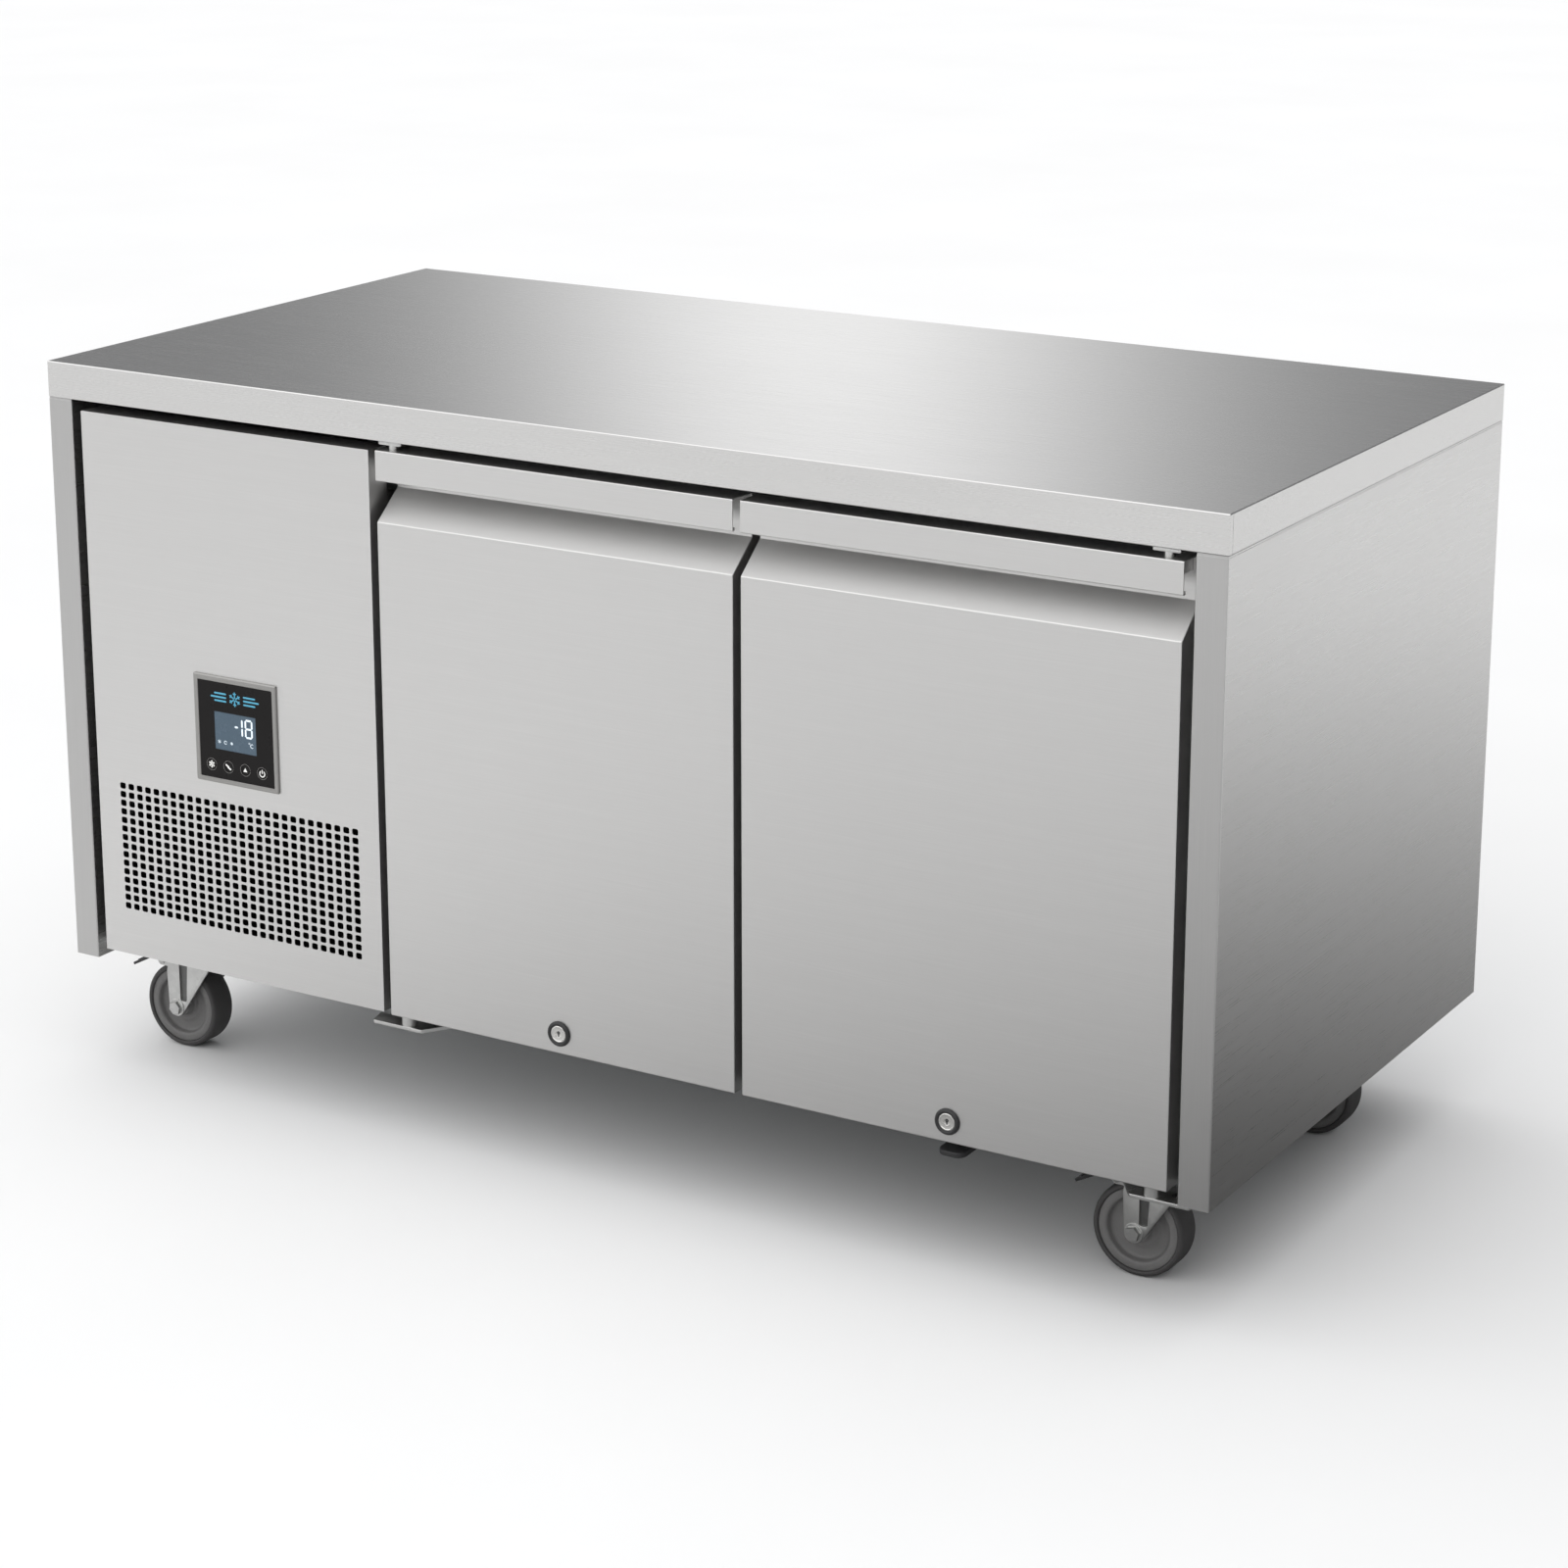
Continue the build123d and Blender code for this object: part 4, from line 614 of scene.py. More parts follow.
def rear_casing():
    """Back sheet with pressed louvres behind the machine compartment."""
    y0 = BACK - 4.0 * MM
    columns, rows, first_z, pitch = (150.0, 320.0), 14, 0.215, 0.020
    half_wide, half_tall, half_cheek = 60 * MM, 4 * MM, 0.4 * MM
    holes = []
    hoods = bmesh.new()
    for column in columns:
        for row in range(rows):
            u, v = X(column), first_z + pitch * row
            slot = rectangle(u - half_wide, u + half_wide, v - half_tall, v + half_tall)
            holes.append(rounded(slot, 3.6 * MM, 4))
            top = v + 4.3 * MM
            prism(hoods, spots(HOOD, y0, top), "x", u - half_wide, u + half_wide)
            for end in (u - half_wide, u + half_wide):
                prism(hoods, spots(CHEEK, y0, top), "x", end - half_cheek, end + half_cheek)
    outer = rounded(rectangle(LEFT + SHEET, RIGHT - SHEET, 0.1293, 0.774), 1.0 * MM, 2)
    bm = punched("rear_sheet", outer, holes, SHEET, 0.2 * MM, y0)
    hood_mesh = bpy.data.meshes.new("hoods")
    hoods.to_mesh(hood_mesh)
    hoods.free()
    bm.from_mesh(hood_mesh)
    bpy.data.meshes.remove(hood_mesh)
    return finish_mesh("rear_sheet_with_louvres", bm, GALVANISED, 20.0, False)


place(rear_casing(), "root", "galvanised_sheet", "rear_casing")


def liner():
    """Storage lining with coved corners, closed at the back."""
    sides = X(485), X(1341), Z(632), Z(88)
    y0, y1 = Y(86), Y(645)
    cove, thick, steps = 14 * MM, 0.9 * MM, 5
    loops = [
        window(*sides, y1 + thick, cove, -thick, steps + 1),
        window(*sides, y0, cove, -thick, steps + 1),
        window(*sides, y0, cove, 0.0, steps + 1),
        window(*sides, y1 - cove, cove, 0.0, steps + 1),
    ]
    for k in range(1, steps + 1):
        a = math.radians(90 * k / steps)
        inset, depth = cove * (1 - math.cos(a)) * 0.98, cove * math.sin(a)
        loops.append(window(*sides, y1 - cove + depth, cove, inset, steps + 1))
    bm = bmesh.new()
    loft(bm, loops)
    return finish_mesh("liner_shell", bm, INNER_STEEL, 40.0)


place(liner(), "root", "inner_stainless", "inner_liner")


# ---------------------------------------------------------------- controller
BEZEL = X(189.5), X(303.5), Z(448.5), Z(326)
FACE = X(195.5), X(297.5), Z(443), Z(333)
SCREEN = X(217), X(274), Z(409.5), Z(366.5)


def controller_surround():
    """Bevelled metal frame round the black face."""
    rows = [
        (BEZEL, 0.0, 2.0, 0.0), (BEZEL, -1.1, 2.0, 0.0), (BEZEL, -1.9, 2.0, 0.5), (BEZEL, -2.5, 2.0, 1.6),
        (BEZEL, -2.5, 2.0, 3.4), (FACE, -2.1, 1.2, -0.4), (FACE, -1.6, 1.0, 0.0), (FACE, 0.0, 1.0, 0.0),
    ]
    bm = bmesh.new()
    loops = [window(*sides, FRONT + y * MM, radius * MM, inset * MM) for sides, y, radius, inset in rows]
    loft(bm, loops, closed=True)
    return finish_mesh("controller_surround", bm, BEZEL_METAL, 28.0)


def controller_plate():
    """Black face with its screen opening and four key wells, and the housing behind it."""
    thick, well = 1.8 * MM, 6.3 * MM
    outer = [(u, v) for u, _, v in window(*FACE, 0.0, 1.0 * MM, 0.1 * MM)]
    hole = [(u, v) for u, _, v in window(*SCREEN, 0.0, 0.8 * MM, 0.0)]
    angles = [math.radians(k * 10) for k in range(36)]
    wells = []
    for column in KEY_COLUMNS:
        wells.append([(X(column) + well * math.cos(a), Z(KEYS_DROP) + well * math.sin(a)) for a in angles])
    bm = punched("face_sheet", outer, [hole] + wells, thick, 0.25 * MM, FRONT - thick)
    left, right, under, top = CONTROLLER_CUT
    box(bm, left, right, FRONT + 3.0 * MM, Y(38), under, top)
    box(bm, left, right, FRONT + 0.6 * MM, FRONT + 3.0 * MM, Z(420), top)
    return finish_mesh("controller_plate", bm, GLOSS, 20.0, False)


def screen_glass():
    """Display pane with a chamfered front edge."""
    bm = bmesh.new()
    loops = [
        window(*SCREEN, FRONT + y * MM, 0.8 * MM, inset * MM)
        for y, inset in ((0.4, 0.05), (-1.45, 0.05), (-1.65, 0.3))
    ]
    loft(bm, loops)
    return finish_mesh("display_glass_pane", bm, LCD, 30.0)


place(controller_surround(), "root", "bezel_metal", "controller_bezel")
place(controller_plate(), "root", "black_gloss", "controller_face")
place(screen_glass(), "root", "display", "display_screen")


def marks(name, shapes, y, material, body="root", slot="display"):
    """Thin raised marks from outlines in (x, z)."""
    bm = bmesh.new()
    for shape in shapes:
        prism(bm, shape, "y", y - 0.10 * MM, y + 0.02 * MM)
    return place(finish_mesh(name, bm, material, 30.0, False), body, slot)


def stroke(x0, z0, x1, z1, width):
    """Outline of a straight mark with pointed ends."""
    a, b = Vector((x0, z0)), Vector((x1, z1))
    along = (b - a).normalized()
    side = Vector((-along.y, along.x)) * width / 2
    tip = along * width / 2
    return [tuple(p) for p in (a, a + tip + side, b - tip + side, b, b - tip - side, a + tip - side)]


def line(x0, drop0, x1, drop1, width):
    """Straight mark between two places in mm."""
    return stroke(X(x0), Z(drop0), X(x1), Z(drop1), width * MM)


SEGMENTS = {"8": "abcdefg", "1": "bc", "-": "g"}


def digit(character, x, z, wide, tall, width):
    """Seven-segment digit whose lower left corner is at x, z."""
    middle, right, top = z + tall / 2, x + wide, z + tall
    gap = width * 0.12
    ends = {
        "a": (x, top, right, top), "b": (right, middle, right, top), "c": (right, z, right, middle),
        "d": (x, z, right, z), "e": (x, z, x, middle), "f": (x, middle, x, top),
        "g": (x, middle, right, middle),
    }
    shapes = []
    for segment in SEGMENTS[character]:
        p, q = Vector(ends[segment][:2]), Vector(ends[segment][2:])
        along = (q - p).normalized() * gap
        shapes.append(stroke(*(p + along), *(q - along), width))
    return shapes


def star(x, z, radius, width, arms=6, twigs=True):
    """Snow crystal of straight marks."""
    shapes = []
    centre = Vector((x, z))
    for k in range(arms):
        a = math.radians(90 + 360 * k / arms)
        tip = Vector((x + radius * math.cos(a), z + radius * math.sin(a)))
        shapes.append(stroke(*centre.lerp(tip, 0.10), *tip, width))
        if twigs:
            fork = centre.lerp(tip, 0.58)
            for turn in (-50, 50):
                b = a + math.radians(turn)
                end = fork.x + radius * 0.34 * math.cos(b), fork.y + radius * 0.34 * math.sin(b)
                shapes.append(stroke(*fork, *end, width * 0.8))
    return shapes


def arc(x, z, radius, width, first, last, steps=22):
    """Band along part of a circle."""
    angles = [math.radians(first + (last - first) * k / steps) for k in range(steps + 1)]
    far, near = radius + width / 2, radius - width / 2
    outside = [(x + far * math.cos(a), z + far * math.sin(a)) for a in angles]
    inside = [(x + near * math.cos(a), z + near * math.sin(a)) for a in angles]
    return outside + inside[::-1]


def display_marks():
    """Lit digits, and the small signs on the left and under them."""
    y = FRONT - 1.67 * MM
    tall, width, foot = 19.5 * MM, 2.2 * MM, Z(390.5)
    digits = []
    for character, x, wide in (("-", 244.5, 5.6), ("1", 247.6, 7.6), ("8", 260.0, 8.6)):
        digits += digit(character, X(x), foot, wide * MM, tall, width)
    marks("display_digits_lit", digits, y, LIT)
    row = Z(400.5)
    signs = star(X(223), row, 2.3 * MM, 0.55 * MM, 6, False)
    signs.append(arc(X(231.5), row, 1.8 * MM, 0.6 * MM, 20, 330))
    signs += star(X(240), row, 1.9 * MM, 0.5 * MM, 8, False)
    signs.append(arc(X(264.6), Z(396.6), 0.8 * MM, 0.4 * MM, 0, 350))
    signs.append(arc(X(268.2), Z(399.3), 2.1 * MM, 0.65 * MM, 50, 310))
    marks("display_icons_lit", signs, y, LIT)


def face_marks():
    """Generic badge of a snow crystal between bars, and a ring round each key."""
    y = FRONT - 1.82 * MM
    middle, drop, bar_from, bar_wide = 246.5, 349.5, 11.5, 1.9
    badge = star(X(middle), Z(drop), 8.4 * MM, 1.4 * MM)
    for side in (-1, 1):
        for row, reach in ((4.2, 17.0), (0.0, 22.0), (-4.2, 17.0)):
            near, far = middle + side * bar_from, middle + side * (bar_from + reach)
            badge.append(line(near, drop + row, far, drop + row, bar_wide))
    # The badge's print glows: painted glow.
    marks("generic_snow_badge", badge, y, BADGE_PAINTED_GLOW, slot="black_gloss")
    rings = [arc(X(x), Z(KEYS_DROP), 6.75 * MM, 0.32 * MM, 0, 350, 36) for x in KEY_COLUMNS]
    marks("key_rings", rings, y, BEZEL_METAL, slot="bezel_metal")


KEY_PROFILE = [
    (6.0, 1.5), (6.0, -1.35), (5.75, -1.75), (5.3, -1.95), (4.6, -1.82), (2.5, -1.62), (0.6, -1.58),
]
KEY_SIGNS = [
    star(X(211.0), Z(KEYS_DROP), 4.4 * MM, 1.2 * MM, 6),
    [line(230.2, 425.2, 235.6, 428.4, 1.9), line(232.8, 427.8, 238.2, 431.0, 1.9)],
    [[(X(254.9), Z(430.0)), (X(260.3), Z(430.0)), (X(257.6), Z(425.4))]],
    [arc(X(281.0), Z(428.4), 3.4 * MM, 1.2 * MM, 125, 415), line(281.0, 423.6, 281.0, 428.6, 1.2)],
]


def keys():
    """Four dished keys, each with a simple sign."""
    for number, (x, sign) in enumerate(zip(KEY_COLUMNS, KEY_SIGNS), start=1):
        bm = bmesh.new()
        lathe(bm, spots(KEY_PROFILE), (X(x), FRONT, Z(KEYS_DROP)), "y", 40)
        key = finish_mesh(f"key_{number}_cap", bm, GLOSS, 40.0, False)
        place(key, f"key_{number}", "black_gloss", f"key_{number}")
        # The key signs glow: painted glow over their print colour.
        marks(f"key_{number}_mark", sign, FRONT - 1.84 * MM, KEY_MARKS_PAINTED_GLOW, f"key_{number}", "black_gloss")


display_marks()
face_marks()
keys()

# ---------------------------------------------------------------- doors
# Sections of the gasket as (inset, y), and turned profiles of the lock as (radius, y), in mm.
SEAL_SECTION = [
    (10.6, 60.0), (10.0, 61.5), (10.4, 63.0), (11.4, 64.0), (10.2, 65.2), (10.0, 68.0), (10.8, 69.8),
    (12.2, 70.0), (21.8, 70.0), (23.2, 69.8), (24.0, 68.0), (23.8, 65.2), (22.6, 64.0), (23.6, 63.0),
    (24.0, 61.5), (23.4, 60.0),
]
LOCK_RING = [
    (9.62, 18.0), (10.9, 18.0), (10.9, 0.0), (13.9, 0.0), (14.0, -0.8), (13.6, -1.9), (12.6, -3.0),
    (11.6, -3.5), (10.6, -3.3), (9.62, -2.2),
]
LOCK_BARREL = [
    (4.0, 44.0), (4.0, 20.0), (9.4, 20.0), (9.45, -1.4), (9.2, -2.2), (8.6, -2.5), (7.9, -2.5),
    (7.6, -2.2), (7.2, -2.1), (3.9, -2.1), (3.7, -1.7), (3.3, -1.5), (0.8, -1.5),
]
DOOR_Z = Z(DOORS_UNDER), Z(DOORS_TOP)


def door_shell(side, left, right, pin):
    """Folded skin with its grip: a slope up into a groove, the lip before it and the hinge block."""
    z0, z1 = DOOR_Z
    bend, side_bend, touching = 1.6 * MM, 1.1 * MM, 1e-7
    groove, back, under_lip = Y(37), Y(58.8), z1 - 0.3 * MM
    outline = [
        (FRONT, z0), (FRONT, Z(127)), (groove, Z(96)), (groove, under_lip), (back, under_lip), (back, z0),
    ]
    bm = bmesh.new()
    prism(bm, rounded(outline, [bend, 2.4 * MM, 1.2 * MM, 0, 0, bend], 3), "x", left, right)

    def at_side(edge):
        ends = [v.co.x for v in edge.verts]
        return any(max(abs(x - limit) for x in ends) < touching for limit in (left, right))

    soften(bm, side_bend, 3, at_side)
    lip_drop, hem, hem_drop = 83, 5, 79.5
    lip = [(Y(37.2), z1), (FRONT, z1), (FRONT, Z(lip_drop)), (Y(hem), Z(lip_drop)), (Y(hem), Z(hem_drop))]
    prism(bm, folded(lip, 1.3 * MM, bend), "x", left + 0.05 * MM, right - 0.05 * MM)
    box(bm, X(pin - 12), X(pin + 12), Y(1.6), Y(36.5), z1 - 17 * MM, z1 - 1.0 * MM)
    shell = finish_mesh(f"door_{side}_shell", bm, FRONT_STEEL, 32.0)

    # The slope under the lip gets the brighter grip steel: painted light.
    def in_grip(face):
        return Z(127.5) < face.center.z < Z(80) and FRONT + 1 * MM < face.center.y < Y(38)

    return second_finish(shell, GRIP_STEEL_PAINTED_LIGHT, in_grip)


def door_inner_panel(side, left, right):
    """Inner sheet with a raised middle inside the gasket."""
    z0, z1 = DOOR_Z
    edge, radius = 1.4 * MM, 14 * MM
    rim = left + edge, right - edge, z0 + edge, z1 - edge
    loops = [window(*rim, Y(y), 1.0 * MM, inset * MM) for y, inset in ((58.6, 0.0), (59.7, 0.0), (60.0, 0.5))]
    for y, inset in ((60.0, 41.0), (60.5, 42.0), (65.0, 45.0), (65.8, 46.0), (66.0, 47.6)):
        loops.append(window(left, right, z0, z1, Y(y), radius, inset * MM))
    bm = bmesh.new()
    loft(bm, loops)
    return finish_mesh(f"door_{side}_inner_panel", bm, INNER_STEEL, 30.0)


def door_seal(side, left, right):
    """Ribbed gasket round the inner panel."""
    bm = bmesh.new()
    loops = [window(left, right, *DOOR_Z, Y(y), 12 * MM, inset * MM, 4) for inset, y in SEAL_SECTION]
    loft(bm, loops, closed=True)
    return finish_mesh(f"door_{side}_seal", bm, GASKET, 50.0, False)


def lock(side, x):
    """Black ring on the door, and the turning barrel with its cam and keyway."""
    z = Z(LOCKS_DROP)
    ring = bmesh.new()
    lathe(ring, spots(LOCK_RING), (x, FRONT, z), "y", 56, closed=True)
    ring_piece = finish_mesh(f"lock_{side}_ring", ring, BLACK, 40.0, False)
    place(ring_piece, f"door_{side}", "black_plastic", f"lock_{side}_bezel")

    barrel = bmesh.new()
    lathe(barrel, spots(LOCK_BARREL), (x, FRONT, z), "y", 48)
    cam = rounded(rectangle(x - 6 * MM, x + 28 * MM, z - 4 * MM, z + 4 * MM), 3.5 * MM, 4)
    prism(barrel, cam, "y", Y(44), Y(47))
    barrel_piece = finish_mesh(f"lock_{side}_barrel", barrel, CHROME, 35.0, False)
    place(barrel_piece, f"lock_{side}", "lock_chrome", f"lock_{side}_cylinder")

    keyway = bmesh.new()
    wide = 1.5 * MM
    bow, blade = arc(x, z + 1.4 * MM, 1.1 * MM, wide, 0, 350), stroke(x, z + 0.8 * MM, x, z - 3.2 * MM, wide)
    for shape in (bow, blade):
        prism(keyway, shape, "y", FRONT - 1.62 * MM, FRONT - 1.4 * MM)
    place(finish_mesh(f"lock_{side}_keyway", keyway, BLACK, 30.0, False), f"lock_{side}", "lock_chrome")


def door(side, span, pin, lock_at):
    """One door with everything that swings on it."""
    body = f"door_{side}"
    left, right = X(span[0]), X(span[1])
    place(door_shell(side, left, right, pin), body, "brushed_stainless", f"door_{side}_skin")
    place(door_inner_panel(side, left, right), body, "inner_stainless", f"door_{side}_liner")
    place(door_seal(side, left, right), body, "black_rubber", f"door_{side}_gasket")
    lock(side, X(lock_at))


door("left", LEFT_DOOR, LEFT_PIN, LEFT_LOCK)
door("right", RIGHT_DOOR, RIGHT_PIN, RIGHT_LOCK)

# Lower hinge plate as (outward from the pin, y), and its screws, in mm.
HINGE_PLATE = [(43.0, 3.0), (-21.0, 3.0), (-44.0, 36.0), (-44.0, 69.0), (52.0, 69.0), (52.0, 36.0)]
HINGE_SCREWS = [(-30.0, 52.0), (0.0, 56.0), (36.0, 52.0)]
# Turned shapes of a hinge as (radius, drop).
UPPER_PIN = [(5.3, 65), (5.5, 64.6), (5.5, 49.5), (5.5, 44)]
LOWER_PIN = [(8.2, 687), (8.5, 686.6), (8.5, 676.8), (8.1, 676.4), (5.5, 676.4), (5.5, 662), (4.9, 661.2)]
SCREW_HEAD = [(5.4, 691), (5.2, 691.9), (4.2, 692.7), (2.0, 693.0), (1.2, 692.3)]


def hanging(profile):
    """Profile given as (radius, drop) in mm."""
    return [(radius * MM, Z(drop)) for radius, drop in profile]


def hinges():
    """Upper brackets and pins, lower trapezoid plates with their collars and screws."""
    bm = bmesh.new()
    sides = ((X(LEFT_PIN), -1), (X(RIGHT_PIN), 1))
    corner, plate_thick, pin_y = 3 * MM, 4, 12
    for x, outward in sides:
        upper = rounded(rectangle(x - 15 * MM, x + 15 * MM, Y(3), Y(71)), corner, 3)
        prism(bm, upper, "z", Z(TOP_UNDER + plate_thick), Z(TOP_UNDER))
        plate = [(x + outward * a * MM, Y(b)) for a, b in HINGE_PLATE]
        prism(bm, rounded(plate, corner, 3), "z", Z(SIDES_UNDER + plate_thick), Z(SIDES_UNDER))
    soften(bm, 0.5 * MM, 2)
    for x, outward in sides:
        for profile in (UPPER_PIN, LOWER_PIN):
            lathe(bm, hanging(profile), (x, Y(pin_y), 0.0), "z", 32)
        for a, b in HINGE_SCREWS:
            lathe(bm, hanging(SCREW_HEAD), (x + outward * a * MM, Y(b), 0.0), "z", 24)
    return finish_mesh("hinge_set", bm, HINGE_METAL, 35.0, False)


place(hinges(), "root", "hinge_steel", "door_hinges")


def strike():
    """Rounded black striker under the cabinet."""
    x, half_wide = X(RIGHT_LOCK), 15 * MM
    outline = rectangle(x - half_wide, x + half_wide, Y(4), Y(54))
    bm = bmesh.new()
    prism(bm, rounded(outline, [10 * MM, 10 * MM, 2 * MM, 2 * MM], 6), "z", Z(693), Z(SIDES_UNDER))
    soften(bm, 1.4 * MM, 3)
    return finish_mesh("strike_moulding", bm, BLACK, 40.0)


place(strike(), "root", "black_plastic", "lock_strike")

# ---------------------------------------------------------------- casters
# In mm: half of the wheel and of the tyre as (radius, y), the leg as (x, z) from the swivel's axis and the
# floor, the pedal's plate and shoe as (x, z) from its pin, and the turned shapes as (radius, place along).
TRAIL, AXLE_Z, LEG_INNER, LEG_OUTER, CHANNEL_Y = 20, 50, 21, 24, 21.6
WHEEL_PROFILE = [
    (5.1, -19.6), (9.8, -19.8), (11.8, -19.3), (12.8, -18.0), (13.0, -10.0), (14.2, -8.4), (16.6, -7.8),
    (18.0, -8.3), (19.6, -8.3), (20.8, -7.4), (24.0, -6.8), (30.5, -7.0), (32.6, -7.8), (33.6, -9.6),
    (34.2, -12.8), (35.4, -14.6), (37.0, -15.0), (41.6, -15.0), (43.4, -14.4),
]
TYRE_PROFILE = [
    (43.6, -14.2), (43.9, -15.9), (44.8, -16.8), (46.0, -17.0), (47.6, -16.5), (48.9, -15.3), (49.7, -13.2),
    (50.0, -10.4), (50.0, -4.0),
]
LEG = [
    (-30, 109), (-15, 109), (-14.5, 59), (-5.5, 59), (-2.5, 109), (28, 109), (28, 102), (-6, 52), (-14, 40.5),
    (-26, 40.5), (-31, 50), (-33, 92),
]
LEG_RADII = [MM * r for r in (3, 0.4, 2, 2, 0.4, 3, 5, 10, 6, 6, 8, 4)]
BALL_RACE = [(26.4, 108.6), (27, 109.4), (27, 112.6), (26.2, 113.8), (20, 114), (6.2, 114), (6.2, 108.6)]
PEDAL_PLATE = [(0, 4.6), (-24, 0), (-51, -15), (-50, -18), (-23, -4), (0, 0)]
PEDAL_SHOE = [(2, -3), (0, -5), (-6, -7.2), (-9, -1)]
PEDAL_TUBE = [(2.6, -18.6), (4.6, -18.6), (5.0, -18.0), (5.0, 18.0), (4.6, 18.6), (2.6, 18.6)]


def mirrored(profile):
    """Profile and its mirror image, as one closed outline in metres."""
    near = spots(profile)
    return near + [(r, -y) for r, y in near[::-1]]


def wheel(name, axle):
    """Dished wheel and shouldered tyre."""
    body = f"caster_{name}_wheel"
    core, band = bmesh.new(), bmesh.new()
    lathe(core, mirrored(WHEEL_PROFILE), axle, "y", 72, closed=True)
    place(finish_mesh(f"caster_{name}_core", core, WHEEL_GREY, 60.0, False), body, "wheel_grey", body)
    lathe(band, mirrored(TYRE_PROFILE), axle, "y", 96, closed=True)
    tread = finish_mesh(f"caster_{name}_tread", band, TYRE_GREY, 60.0, False)
    place(tread, body, "tyre_grey", f"caster_{name}_tyre")


def brake_tabs(bm, cx, cy, px, pz):
    """Adds the two ears of the fork that hold the pedal's pin, and the pin."""
    ear = 5.8 * MM
    tab = rounded(rectangle(px - ear, cx - 27 * MM, pz - ear, 108.8 * MM), [5 * MM, 0, 0, 4 * MM], 4)
    for sign in (-1, 1):
        outer = cy + sign * 23.8 * MM
        prism(bm, tab, "y", *sorted((cy + sign * 21.2 * MM, outer)))
        rivet = spots([(2.4, 0.0), (4.2, 0.0), (4.2, sign * 0.9), (3.2, sign * 1.5)])
        lathe(bm, rivet, (px, outer, pz), "y", 24)
    lathe(bm, spots([(2.45, -LEG_OUTER), (2.45, LEG_OUTER)]), (px, cy, pz), "y", 20)


def fork(name, cx, cy, pedal_pin):
    """Pressed fork: crown, two channelled legs, wheel bolt and ball race; ears where a pedal is held."""
    x, z = cx - TRAIL * MM, AXLE_Z * MM
    bm = bmesh.new()
    crown = rectangle(cx - 30 * MM, cx + 28 * MM, cy - LEG_OUTER * MM, cy + LEG_OUTER * MM)
    prism(bm, rounded(crown, 3 * MM, 3), "z", 106.2 * MM, 109 * MM)
    leg = rounded(spots(LEG, cx), LEG_RADII, 4)
    for sign in (-1, 1):
        prism(bm, leg, "y", *sorted((cy + sign * LEG_INNER * MM, cy + sign * LEG_OUTER * MM)))
    soften(bm, 0.8 * MM, 2)
    for sign in (-1, 1):
        a, b = sorted((cy + sign * LEG_INNER * MM, cy + sign * CHANNEL_Y * MM))
        box(bm, cx - 16 * MM, cx - 1.5 * MM, a, b, 57 * MM, 108 * MM)
    for sign in (-1, 1):
        outer = cy + sign * LEG_OUTER * MM
        hexagon(bm, x, z, 8.3 * MM, outer, outer + sign * 5.6 * MM)
        washer = spots([(10.4, 0.0), (10.4, sign * 1.1), (9.9, sign * 1.5)])
        lathe(bm, washer, (x, outer, z), "y", 36)
    lathe(bm, spots([(4.95, -LEG_OUTER), (4.95, LEG_OUTER)]), (x, cy, z), "y", 24)
    lathe(bm, spots([(4.2, LEG_OUTER), (4.2, 31.2), (3.6, 31.9)]), (x, cy, z), "y", 24)
    lathe(bm, spots(BALL_RACE), (cx, cy, 0.0), "z", 64, closed=True)
    if pedal_pin:
        brake_tabs(bm, cx, cy, *pedal_pin)
    yoke = finish_mesh(f"caster_{name}_yoke", bm, ZINC, 35.0, False)

    # The channel floors get the dark zinc as painted shade.
    def in_channel(face):
        return abs(abs(face.center.y - cy) - CHANNEL_Y * MM) < 0.05 * MM

    second_finish(yoke, ZINC_PAINTED_SHADE, in_channel)
    place(yoke, f"caster_{name}_swivel", "zinc_steel", f"caster_{name}_fork")


def pedal(name, cy, px, pz):
    """Brake pedal: bent plate with foot rails, the shoe under it and the tube on its pin."""
    bm = bmesh.new()
    plate = rounded(spots(PEDAL_PLATE, px, pz), [2 * MM, 8 * MM, 1 * MM, 1 * MM, 8 * MM, 0], 3)
    prism(bm, plate, "y", cy - 15 * MM, cy + 15 * MM)
    prism(bm, spots(PEDAL_SHOE, px, pz), "y", cy - 14.6 * MM, cy + 14.6 * MM)
    soften(bm, 0.6 * MM, 2)
    lathe(bm, spots(PEDAL_TUBE), (px, cy, pz), "y", 32, closed=True)
    along = Vector((-27.0, -15.0)).normalized()
    lift = Vector((along.y, -along.x)) * 0.9 * MM
    pitch, rails = 4.6 * MM, 5
    for k in range(rails):
        foot = Vector((px, pz)) + Vector((-27.5, -2.0)) * MM + along * (pitch * k)
        rail = [foot, foot + along * 1.6 * MM, foot + along * 1.3 * MM + lift, foot + along * 0.3 * MM + lift]
        prism(bm, rail, "y", cy - 13 * MM, cy + 13 * MM)
    piece = finish_mesh(f"caster_{name}_foot_pedal", bm, BLACK, 35.0, False)
    place(piece, f"caster_{name}_pedal", "black_plastic", f"caster_{name}_pedal")


def caster(name, cx, cy, braked):
    """One caster, its wheel trailing behind its swivel."""
    pedal_pin = (cx - 40 * MM, 104 * MM) if braked else None
    wheel(name, (cx - TRAIL * MM, cy, AXLE_Z * MM))
    fork(name, cx, cy, pedal_pin)
    if braked:
        pedal(name, cy, *pedal_pin)


for row_name, row in zip(("front", "rear"), CASTER_ROWS):
    for side_name, column in zip(("left", "right"), CASTER_COLUMNS):
        caster(f"{row_name}_{side_name}", X(column), Y(row), row_name == "front")


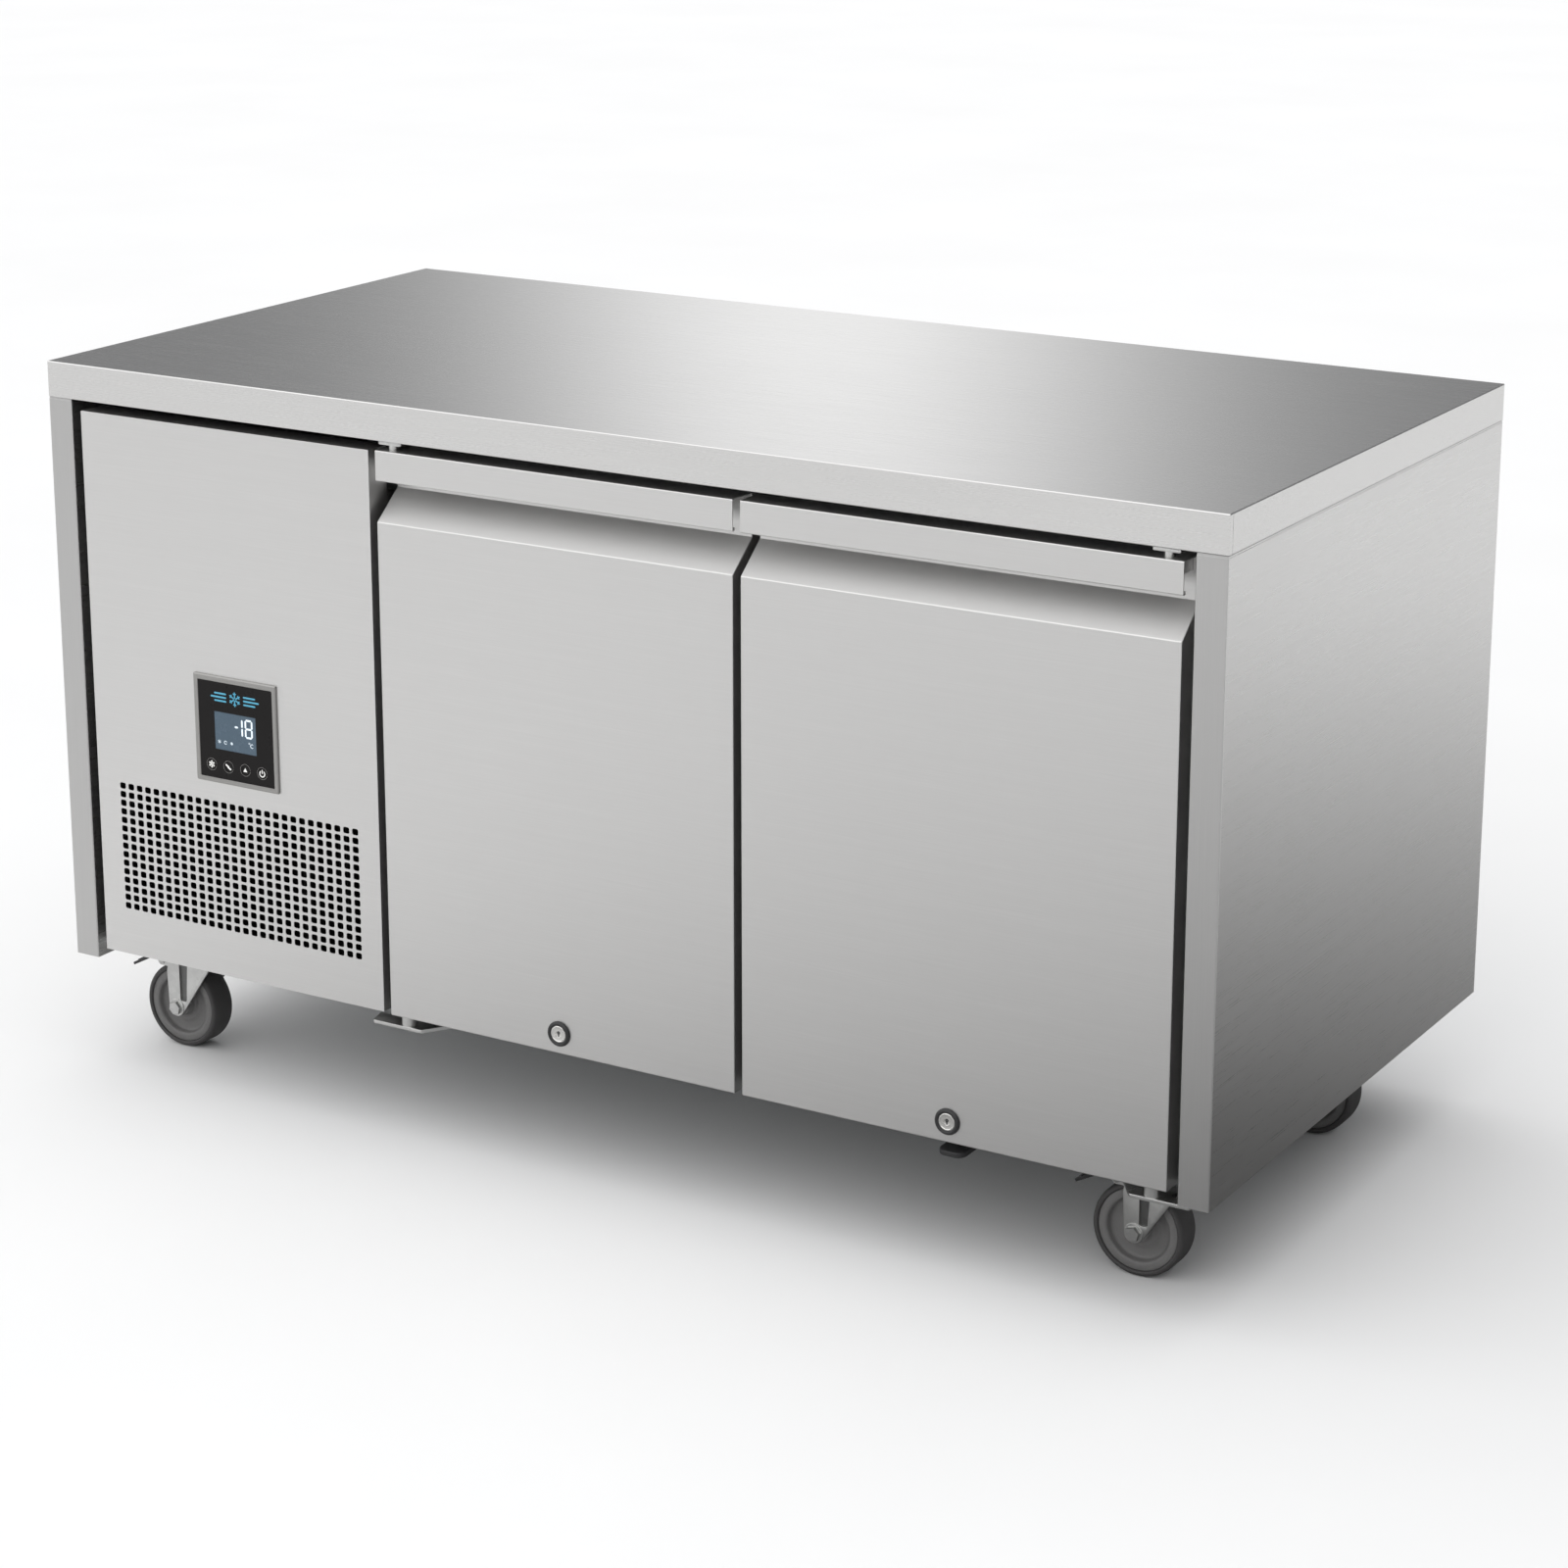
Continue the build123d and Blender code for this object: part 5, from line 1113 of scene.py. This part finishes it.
# ---------------------------------------------------------------- stage
def pale_floor():
    """Plain floor, a hair below the wheels."""
    bm = bmesh.new()
    bmesh.ops.create_grid(bm, x_segments=8, y_segments=8, size=40.0)
    look, tree, shader = start("pale_floor")
    tone = noise(tree, own_place(tree), scale=1.5)
    base = blend(tree, spread(tree, tone, 0.0, 1.0), (0.865, 0.865, 0.865), (0.885, 0.885, 0.885))
    feed(tree, shader, {"Base Color": base, "Roughness": 0.9, "Specular IOR Level": 0.0})
    floor = finish_mesh("floor", bm, look, 30.0, False)
    floor.location.z = -0.3 * MM


def studio_world():
    """Soft fill light, which the camera sees as a nearly white background."""
    world = bpy.data.worlds.new("studio")
    world.use_nodes = True
    tree = world.node_tree
    fill = tree.nodes["Background"]
    feed(tree, fill, {"Color": (0.97, 0.98, 1.0, 1.0), "Strength": 0.24})
    pale = node(tree, "ShaderNodeBackground", {"Color": (1.0, 1.0, 1.0, 1.0), "Strength": 0.96})
    seen = node(tree, "ShaderNodeLightPath").outputs["Is Camera Ray"]
    ends = {0: seen, 1: fill.outputs["Background"], 2: pale.outputs["Background"]}
    sky = node(tree, "ShaderNodeMixShader", ends).outputs["Shader"]
    tree.links.new(sky, tree.nodes["World Output"].inputs["Surface"])
    scene.world = world


def only_reflected(obj):
    """Keeps a studio card out of sight: it shows in polished surfaces and lights nothing else."""
    obj.visible_camera = False
    obj.visible_diffuse = False
    obj.visible_shadow = False
    obj.visible_transmission = False


def surface(tree, shader, result):
    """Makes a result the surface of its material, in place of the usual shader."""
    tree.links.new(result, tree.nodes["Material Output"].inputs["Surface"])
    tree.nodes.remove(shader)


def bell(tree, value, centre, width):
    """Bell curve of a coordinate."""
    offset = calculated(tree, "SUBTRACT", value, centre)
    share = calculated(tree, "DIVIDE", offset, width)
    square = calculated(tree, "MULTIPLY", share, share)
    half = calculated(tree, "MULTIPLY", square, -0.5)
    return calculated(tree, "EXPONENT", half)


def light_card(name, y, x_span, z_span, strength, across, upward):
    """Upright card that glows most round one place and fades out; across and upward are (centre, width)."""
    bm = bmesh.new()
    bm.faces.new([bm.verts.new((u, y, v)) for u, v in rectangle(*x_span, *z_span)])
    look, tree, shader = start(name)
    axes = node(tree, "ShaderNodeSeparateXYZ", {"Vector": own_place(tree)}).outputs
    bells = [bell(tree, axes[axis], *shape) for axis, shape in (("X", across), ("Z", upward))]
    total = calculated(tree, "MULTIPLY", *bells)
    power = calculated(tree, "MULTIPLY", total, strength)
    glow = node(tree, "ShaderNodeEmission", {"Strength": power}).outputs["Emission"]
    clear = node(tree, "ShaderNodeBsdfTransparent").outputs["BSDF"]
    both = node(tree, "ShaderNodeAddShader", {0: glow, 1: clear}).outputs["Shader"]
    surface(tree, shader, both)
    only_reflected(finish_mesh(name, bm, look, 30.0, False))


def graduated_flag():
    """Dark disc over the floor that darkens the low reflections and fades out towards its rim."""
    bm = bmesh.new()
    bmesh.ops.create_circle(bm, cap_ends=True, segments=64, radius=3.0)
    look, tree, shader = start("graduated_flag")
    far = node(tree, "ShaderNodeVectorMath", {0: own_place(tree)}, operation="LENGTH").outputs["Value"]
    share = spread(tree, far, 0.92, 0.0, start_at=0.0, end_at=2.5)
    clear = node(tree, "ShaderNodeBsdfTransparent").outputs["BSDF"]
    dark = node(tree, "ShaderNodeBsdfDiffuse", {"Color": (0.02, 0.02, 0.02, 1.0)}).outputs["BSDF"]
    mixed = node(tree, "ShaderNodeMixShader", {0: share, 1: clear, 2: dark}).outputs["Shader"]
    surface(tree, shader, mixed)
    flag = finish_mesh("graduated_flag", bm, look, 30.0, False)
    flag.location = (0.95, -0.05, 0.5 * MM)
    flag.scale = (0.8, 1.1, 1.0)
    only_reflected(flag)


def soft_key():
    """Very wide sun from the front left above."""
    sun = bpy.data.lights.new("soft_key", "SUN")
    sun.energy = 3.1
    sun.angle = math.radians(120)
    holder = bpy.data.objects.new("soft_key", sun)
    scene.collection.objects.link(holder)
    holder.rotation_euler = Vector((0.45, 0.55, -1.6)).to_track_quat("-Z", "Y").to_euler()


def photo_camera():
    """Camera of the photo, placed from the worktop's front left corner."""
    data = bpy.data.cameras.new("camera")
    camera = bpy.data.objects.new("camera", data)
    scene.collection.objects.link(camera)
    data.sensor_width = 36.0
    data.lens = 86.8
    data.shift_y = -0.10
    camera.location = (LEFT + 2.787, FRONT - 3.079, Z(0) + 0.796)
    camera.rotation_euler = (math.radians(90 - 15.09), 0.0, math.radians(30.94))
    scene.camera = camera


pale_floor()
studio_world()
light_card("card_behind", 3.0, (-4.2, 0.9), (0.2, 3.2), 1.02, across=(-1.70, 0.56), upward=(1.6, 0.8))
light_card("card_front", -6.0, (-1.0, 9.4), (0.3, 6.0), 0.75, across=(4.2, 1.6), upward=(2.9, 1.2))
graduated_flag()
soft_key()
photo_camera()
scene.view_settings.view_transform = "Standard"
